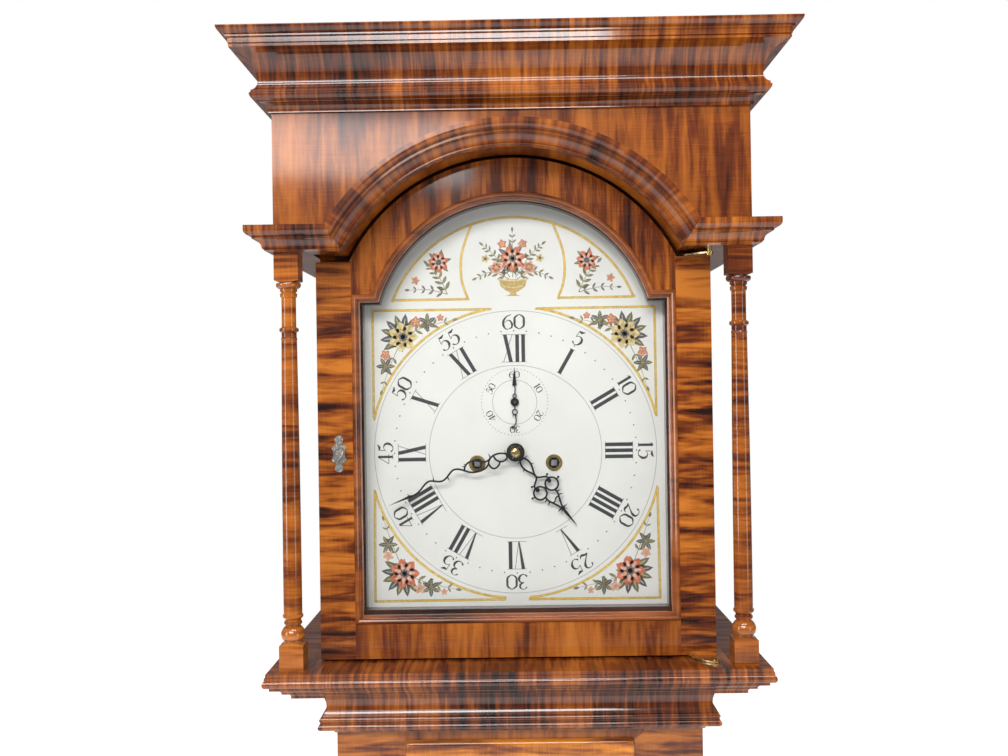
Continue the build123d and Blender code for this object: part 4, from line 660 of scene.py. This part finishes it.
for side in (-1, 1):
    lay_rope([(side * 24.5, 152.2), (side * 150.2, 152.4)], 2)
    lay_rope([(side * 150.2, 152.4), (side * 150.4, 37.0)], 2)
    lay_rope([(side * x, z) for x, z in arc(154.6, 10.0, 76.2)])
    lay_rope([(side * 13.5, -156.8), (side * 151.5, -157.2)], 2)
    lay_rope([(side * 151.5, -157.2), (side * 150.4, -39.0)], 2)
    lay_rope([(side * x, z) for x, z in arc(155.6, 175.0, 104.8)])
    lay_rope([(side * 128.6, 163.3), (side * 48.0, 163.3)], 2)
    lay_rope([(side * 48.0, 163.3), (side * 54.6, 184.0), (side * 54.0, 212.0), (side * 43.2, 243.4)])
lay_rope(arc(138.4, -68.2, 68.2, 111.6, 20))
rope.piece("dial_gilt_rope")

# generic painted sprays
tints = {
    "coral": plain("paint_coral", (0.62, 0.17, 0.075), 0.5, variation=0.3, scale=260),
    "pink": plain("paint_pink", (0.74, 0.40, 0.30), 0.5, variation=0.2, scale=260),
    "ochre": plain("paint_ochre", (0.52, 0.36, 0.12), 0.5, variation=0.25, scale=260),
    "straw": plain("paint_straw", (0.70, 0.57, 0.28), 0.5, variation=0.2, scale=260),
    "olive": plain("paint_olive", (0.17, 0.155, 0.07), 0.5, variation=0.35, scale=260),
    "slate": plain("paint_slate", (0.085, 0.092, 0.105), 0.5, variation=0.35, scale=260),
}
sprays = Paint()


def leaf(x, z, angle, length, width, tint, layer=2, vein="straw"):
    """Pointed leaf from its foot, with a vein where one is named."""
    a = radians(angle)
    outline = [(0, 0), (0.2, 0.32), (0.5, 0.5), (0.8, 0.3), (1, 0), (0.8, -0.3), (0.5, -0.5), (0.2, -0.32)]

    def at(u, v):
        return (x + length * u * cos(a) - width * v * sin(a), z + length * u * sin(a) + width * v * cos(a))

    sprays.shape([at(u, v) for u, v in outline], tints[tint], layer)
    if vein:
        sprays.shape([at(0.05, 0.03), at(0.8, 0.05), at(0.8, -0.02), at(0.05, -0.04)], tints[vein], layer + 1)


def blossom(x, z, radius, petals, tint, heart, lighter, turn=0.0):
    """Open flower of pointed petals, a round heart and a ring of seeds."""
    for k in range(petals):
        a = turn + 360.0 * k / petals
        leaf(x, z, a, radius, radius * 0.72, tint, 3, None)
        leaf(x, z, a + 4, radius * 0.74, radius * 0.26, lighter, 4, None)
    sprays.dot(x, z, radius * 0.27, tints[heart], 5)
    for k in range(7):
        a = radians(turn + 51.4 * k)
        sprays.dot(x + radius * 0.36 * cos(a), z + radius * 0.36 * sin(a), radius * 0.05, tints["straw"], 6, 6)


def frond(points, tint, count, length, fade=0.45):
    """Stem with paired leaves that shorten towards its tip."""
    line = curve(points, 12)
    sprays.stroke(points, (0.8, 0.3), tints["olive"], 1)
    for k in range(1, count + 1):
        i = int(k / (count + 1) * (len(line) - 1))
        a, b = line[i - 1], line[i + 1]
        angle = degrees(atan2(b[1] - a[1], b[0] - a[0]))
        size = length * (1 - fade * k / count)
        for side in (-1, 1):
            leaf(*line[i], angle + side * 48, size, size * 0.36, tint)
    a, b = line[-3], line[-1]
    leaf(*b, degrees(atan2(b[1] - a[1], b[0] - a[0])), length * (1.1 - fade), length * 0.28, tint)


for side in (-1, 1):
    for sign, corner, main, second, centre in ((1, (118.0, 124.0), "straw", "coral", "slate"),
                                               (-1, (120.0, -128.0), "coral", "pink", "slate")):
        cx, cz = side * corner[0], corner[1]
        frond([(cx, cz), (side * 96, cz + sign * 10), (side * 66, cz + sign * 17)], "olive", 5, 11.0)
        frond([(cx, cz), (side * 132, cz - sign * 30), (side * 141, cz - sign * 56)], "olive", 4, 10.0)
        for k in range(7):
            leaf(cx, cz, degrees(atan2(sign, side)) - 78 + 26 * k, 25, 8.5, "slate" if k % 2 else "olive", 2)
        for k in range(6):
            leaf(side * 92, cz + sign * 15, 30 + 60 * k, 10.5, 4.6, "olive" if k % 2 else "slate", 2)
            leaf(side * 137, cz - sign * 31, 60 * k, 10.5, 4.6, "slate" if k % 2 else "olive", 2)
        blossom(cx, cz, 16.5, 7, main, centre, "pink" if main == "coral" else "ochre")
        blossom(cx, cz, 9.5, 7, "ochre" if main == "coral" else "coral", centre, main, 25)
        blossom(side * 104, cz + sign * 16, 6.4, 5, second, "ochre", "pink", 20)
        blossom(side * 137, cz - sign * 19, 6.0, 5, second, "ochre", "pink", 50)
        blossom(side * 78, cz + sign * 20, 4.2, 5, second, "ochre", "pink", 20)
    # side panels of the lunette: an upright sprig
    frond([(side * 70, 169), (side * 78, 186), (side * 90, 200)], "olive", 5, 11.5)
    frond([(side * 70, 169), (side * 90, 174), (side * 110, 174)], "slate", 4, 9.0)
    for k in range(6):
        leaf(side * 79, 203, 60 * k + 15, 14.5, 4.6, "olive", 2)
    blossom(side * 79, 203, 11.5, 7, "coral", "slate", "pink", 15)
    blossom(side * 104, 184, 5.2, 5, "pink", "ochre", "coral")
# middle panel: a low bowl of flowers
bowl = [(-15, 184), (-13, 176), (-7, 171.5), (-3.5, 170), (-3.5, 167.5), (-8, 166), (8, 166), (3.5, 167.5),
        (3.5, 170), (7, 171.5), (13, 176), (15, 184)]
sprays.shape(bowl, tints["ochre"], 3)
sprays.stroke([(-15.5, 184), (0, 182.6), (15.5, 184)], (1.6, 1.6), tints["straw"], 4)
sprays.stroke([(-11, 177), (0, 174.8), (11, 177)], (0.8, 0.8), tints["straw"], 4)
for side in (-1, 1):
    frond([(side * 4, 184), (side * 22, 192), (side * 38, 186)], "olive", 5, 9.5)
    frond([(side * 3, 186), (side * 18, 208), (side * 31, 220)], "olive", 6, 9.5)
    blossom(side * 17.5, 196.5, 7.6, 6, "pink", "ochre", "coral", 10 * side)
    blossom(side * 29, 206, 5.0, 5, "straw", "slate", "ochre")
    blossom(side * 11, 221.5, 5.4, 5, "coral", "ochre", "pink", 30)
frond([(0, 186), (0, 212), (0, 234)], "olive", 6, 9.0)
for k in range(8):
    leaf(0, 206, 45 * k + 10, 18.5, 5.5, "slate" if k % 2 else "olive", 2)
blossom(0, 206, 14.0, 7, "coral", "slate", "pink", 12)
blossom(0, 206, 7.6, 7, "straw", "slate", "ochre", 38)
sprays.piece("dial_sprays")


# gut lines
gut_radius = 0.0009


def straight_falls(name, falls, sides=8):
    """Straight falls as round tubes: (x, top, bottom) each."""
    vertices, faces = [], []
    for x, top, bottom in falls:
        start = len(vertices)
        for z in (top, bottom):
            for k in range(sides):
                a = 2 * pi * k / sides
                vertices.append((x + gut_radius * cos(a), line_y + gut_radius * sin(a), z))
        for k in range(sides):
            j = (k + 1) % sides
            faces.append([start + k, start + sides + k, start + sides + j, start + j])
    return new_piece(name, vertices, faces, [gut], smooth=True)


for train in ("time", "strike"):
    low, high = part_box(train + "_line")
    pulley_z = joints[train + "_pulley_turn"]["pos_m"][2]
    seat_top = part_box("seatboard")[1].z
    falls = [(low.x + gut_radius, winding_z, pulley_z), (high.x - gut_radius, seat_top, pulley_z)]
    line = straight_falls(train + "_gut_falls", falls)
    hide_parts(train + "_line")
    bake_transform(line)
    # turns of gut wound on the drum
    x = joints[train + "_barrel_turn"]["pos_m"][0]
    vertices, faces = [], []
    wound_turns, wound_sides = 14, 28
    rows = wound_turns * 4 + 1
    row_step = 0.00046
    start_y = line_y - gut_radius - 0.0008
    for r in range(rows):
        radius = 0.02505 + 0.0017 * abs(sin(pi * r / 4)) ** 0.7
        for k in range(wound_sides):
            a = 2 * pi * k / wound_sides
            vertices.append((x + radius * cos(a), start_y + row_step * r, winding_z + radius * sin(a)))
    for r in range(rows - 1):
        this, after = r * wound_sides, (r + 1) * wound_sides
        for k in range(wound_sides):
            j = (k + 1) % wound_sides
            faces.append([this + k, this + j, after + j, after + k])
    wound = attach(new_piece(train + "_wound_gut", vertices, faces, [gut], smooth=True), train + "_barrel")

# floor and light
pale = plain("studio_floor", (0.86, 0.86, 0.85), 0.8, variation=0.01, scale=2)
pale_bsdf = pale.node_tree.nodes["Principled BSDF"]
pale_bsdf.inputs["Emission Color"].default_value = (1, 1, 1, 1)
pale_bsdf.inputs["Emission Strength"].default_value = 0.75
floor_half, floor_z = 6, -0.0005
floor_corners = [(x * floor_half, y * floor_half, floor_z) for x, y in ((-1, -1), (1, -1), (1, 1), (-1, 1))]
floor = new_piece("floor", floor_corners, [[0, 1, 2, 3]], [pale])

world = bpy.data.worlds.new("studio")
bpy.context.scene.world = world
world.use_nodes = True
world_tree = world.node_tree
room = world_tree.nodes["Background"]
room.inputs[0].default_value = (0.93, 0.97, 1.0, 1)
room.inputs[1].default_value = 0.42
white = world_tree.nodes.new("ShaderNodeBackground")
white.inputs[0].default_value = (1.0, 1.0, 1.0, 1)
white.inputs[1].default_value = 1.0
dim = world_tree.nodes.new("ShaderNodeBackground")
dim.inputs[0].default_value = (0.90, 0.95, 1.0, 1)
dim.inputs[1].default_value = 0.16
seen = world_tree.nodes.new("ShaderNodeLightPath")
varnish = world_tree.nodes.new("ShaderNodeMixShader")
world_tree.links.new(seen.outputs["Is Glossy Ray"], varnish.inputs[0])
world_tree.links.new(room.outputs[0], varnish.inputs[1])
world_tree.links.new(dim.outputs[0], varnish.inputs[2])
either = world_tree.nodes.new("ShaderNodeMixShader")
world_tree.links.new(seen.outputs["Is Camera Ray"], either.inputs[0])
world_tree.links.new(varnish.outputs[0], either.inputs[1])
world_tree.links.new(white.outputs[0], either.inputs[2])
world_tree.links.new(either.outputs[0], world_tree.nodes["World Output"].inputs[0])


def softbox(name, place, target, size, power):
    data = bpy.data.lights.new(name, "AREA")
    data.shape = "RECTANGLE"
    data.size, data.size_y = size
    data.energy = power
    lamp = bpy.data.objects.new(name, data)
    bpy.context.scene.collection.objects.link(lamp)
    lamp.location = place
    lamp.rotation_mode = "QUATERNION"
    lamp.rotation_quaternion = (Vector(target) - Vector(place)).to_track_quat("-Z", "Y")


softbox("key", (-0.8, -3.0, 3.45), (0, 0, 1.7), (2.6, 0.8), 125)
softbox("window", (-0.9, -3.4, 2.75), (0, 0, 1.9), (1.5, 0.25), 9)
softbox("left_window", (-2.6, -1.6, 2.0), (0, 0, 1.7), (0.7, 1.8), 30)
softbox("right_fill", (2.4, -2.0, 1.8), (0, 0, 1.6), (0.8, 1.6), 14)
softbox("top", (0.1, -1.1, 3.3), (0, -0.1, 1.9), (1.6, 0.35), 26)
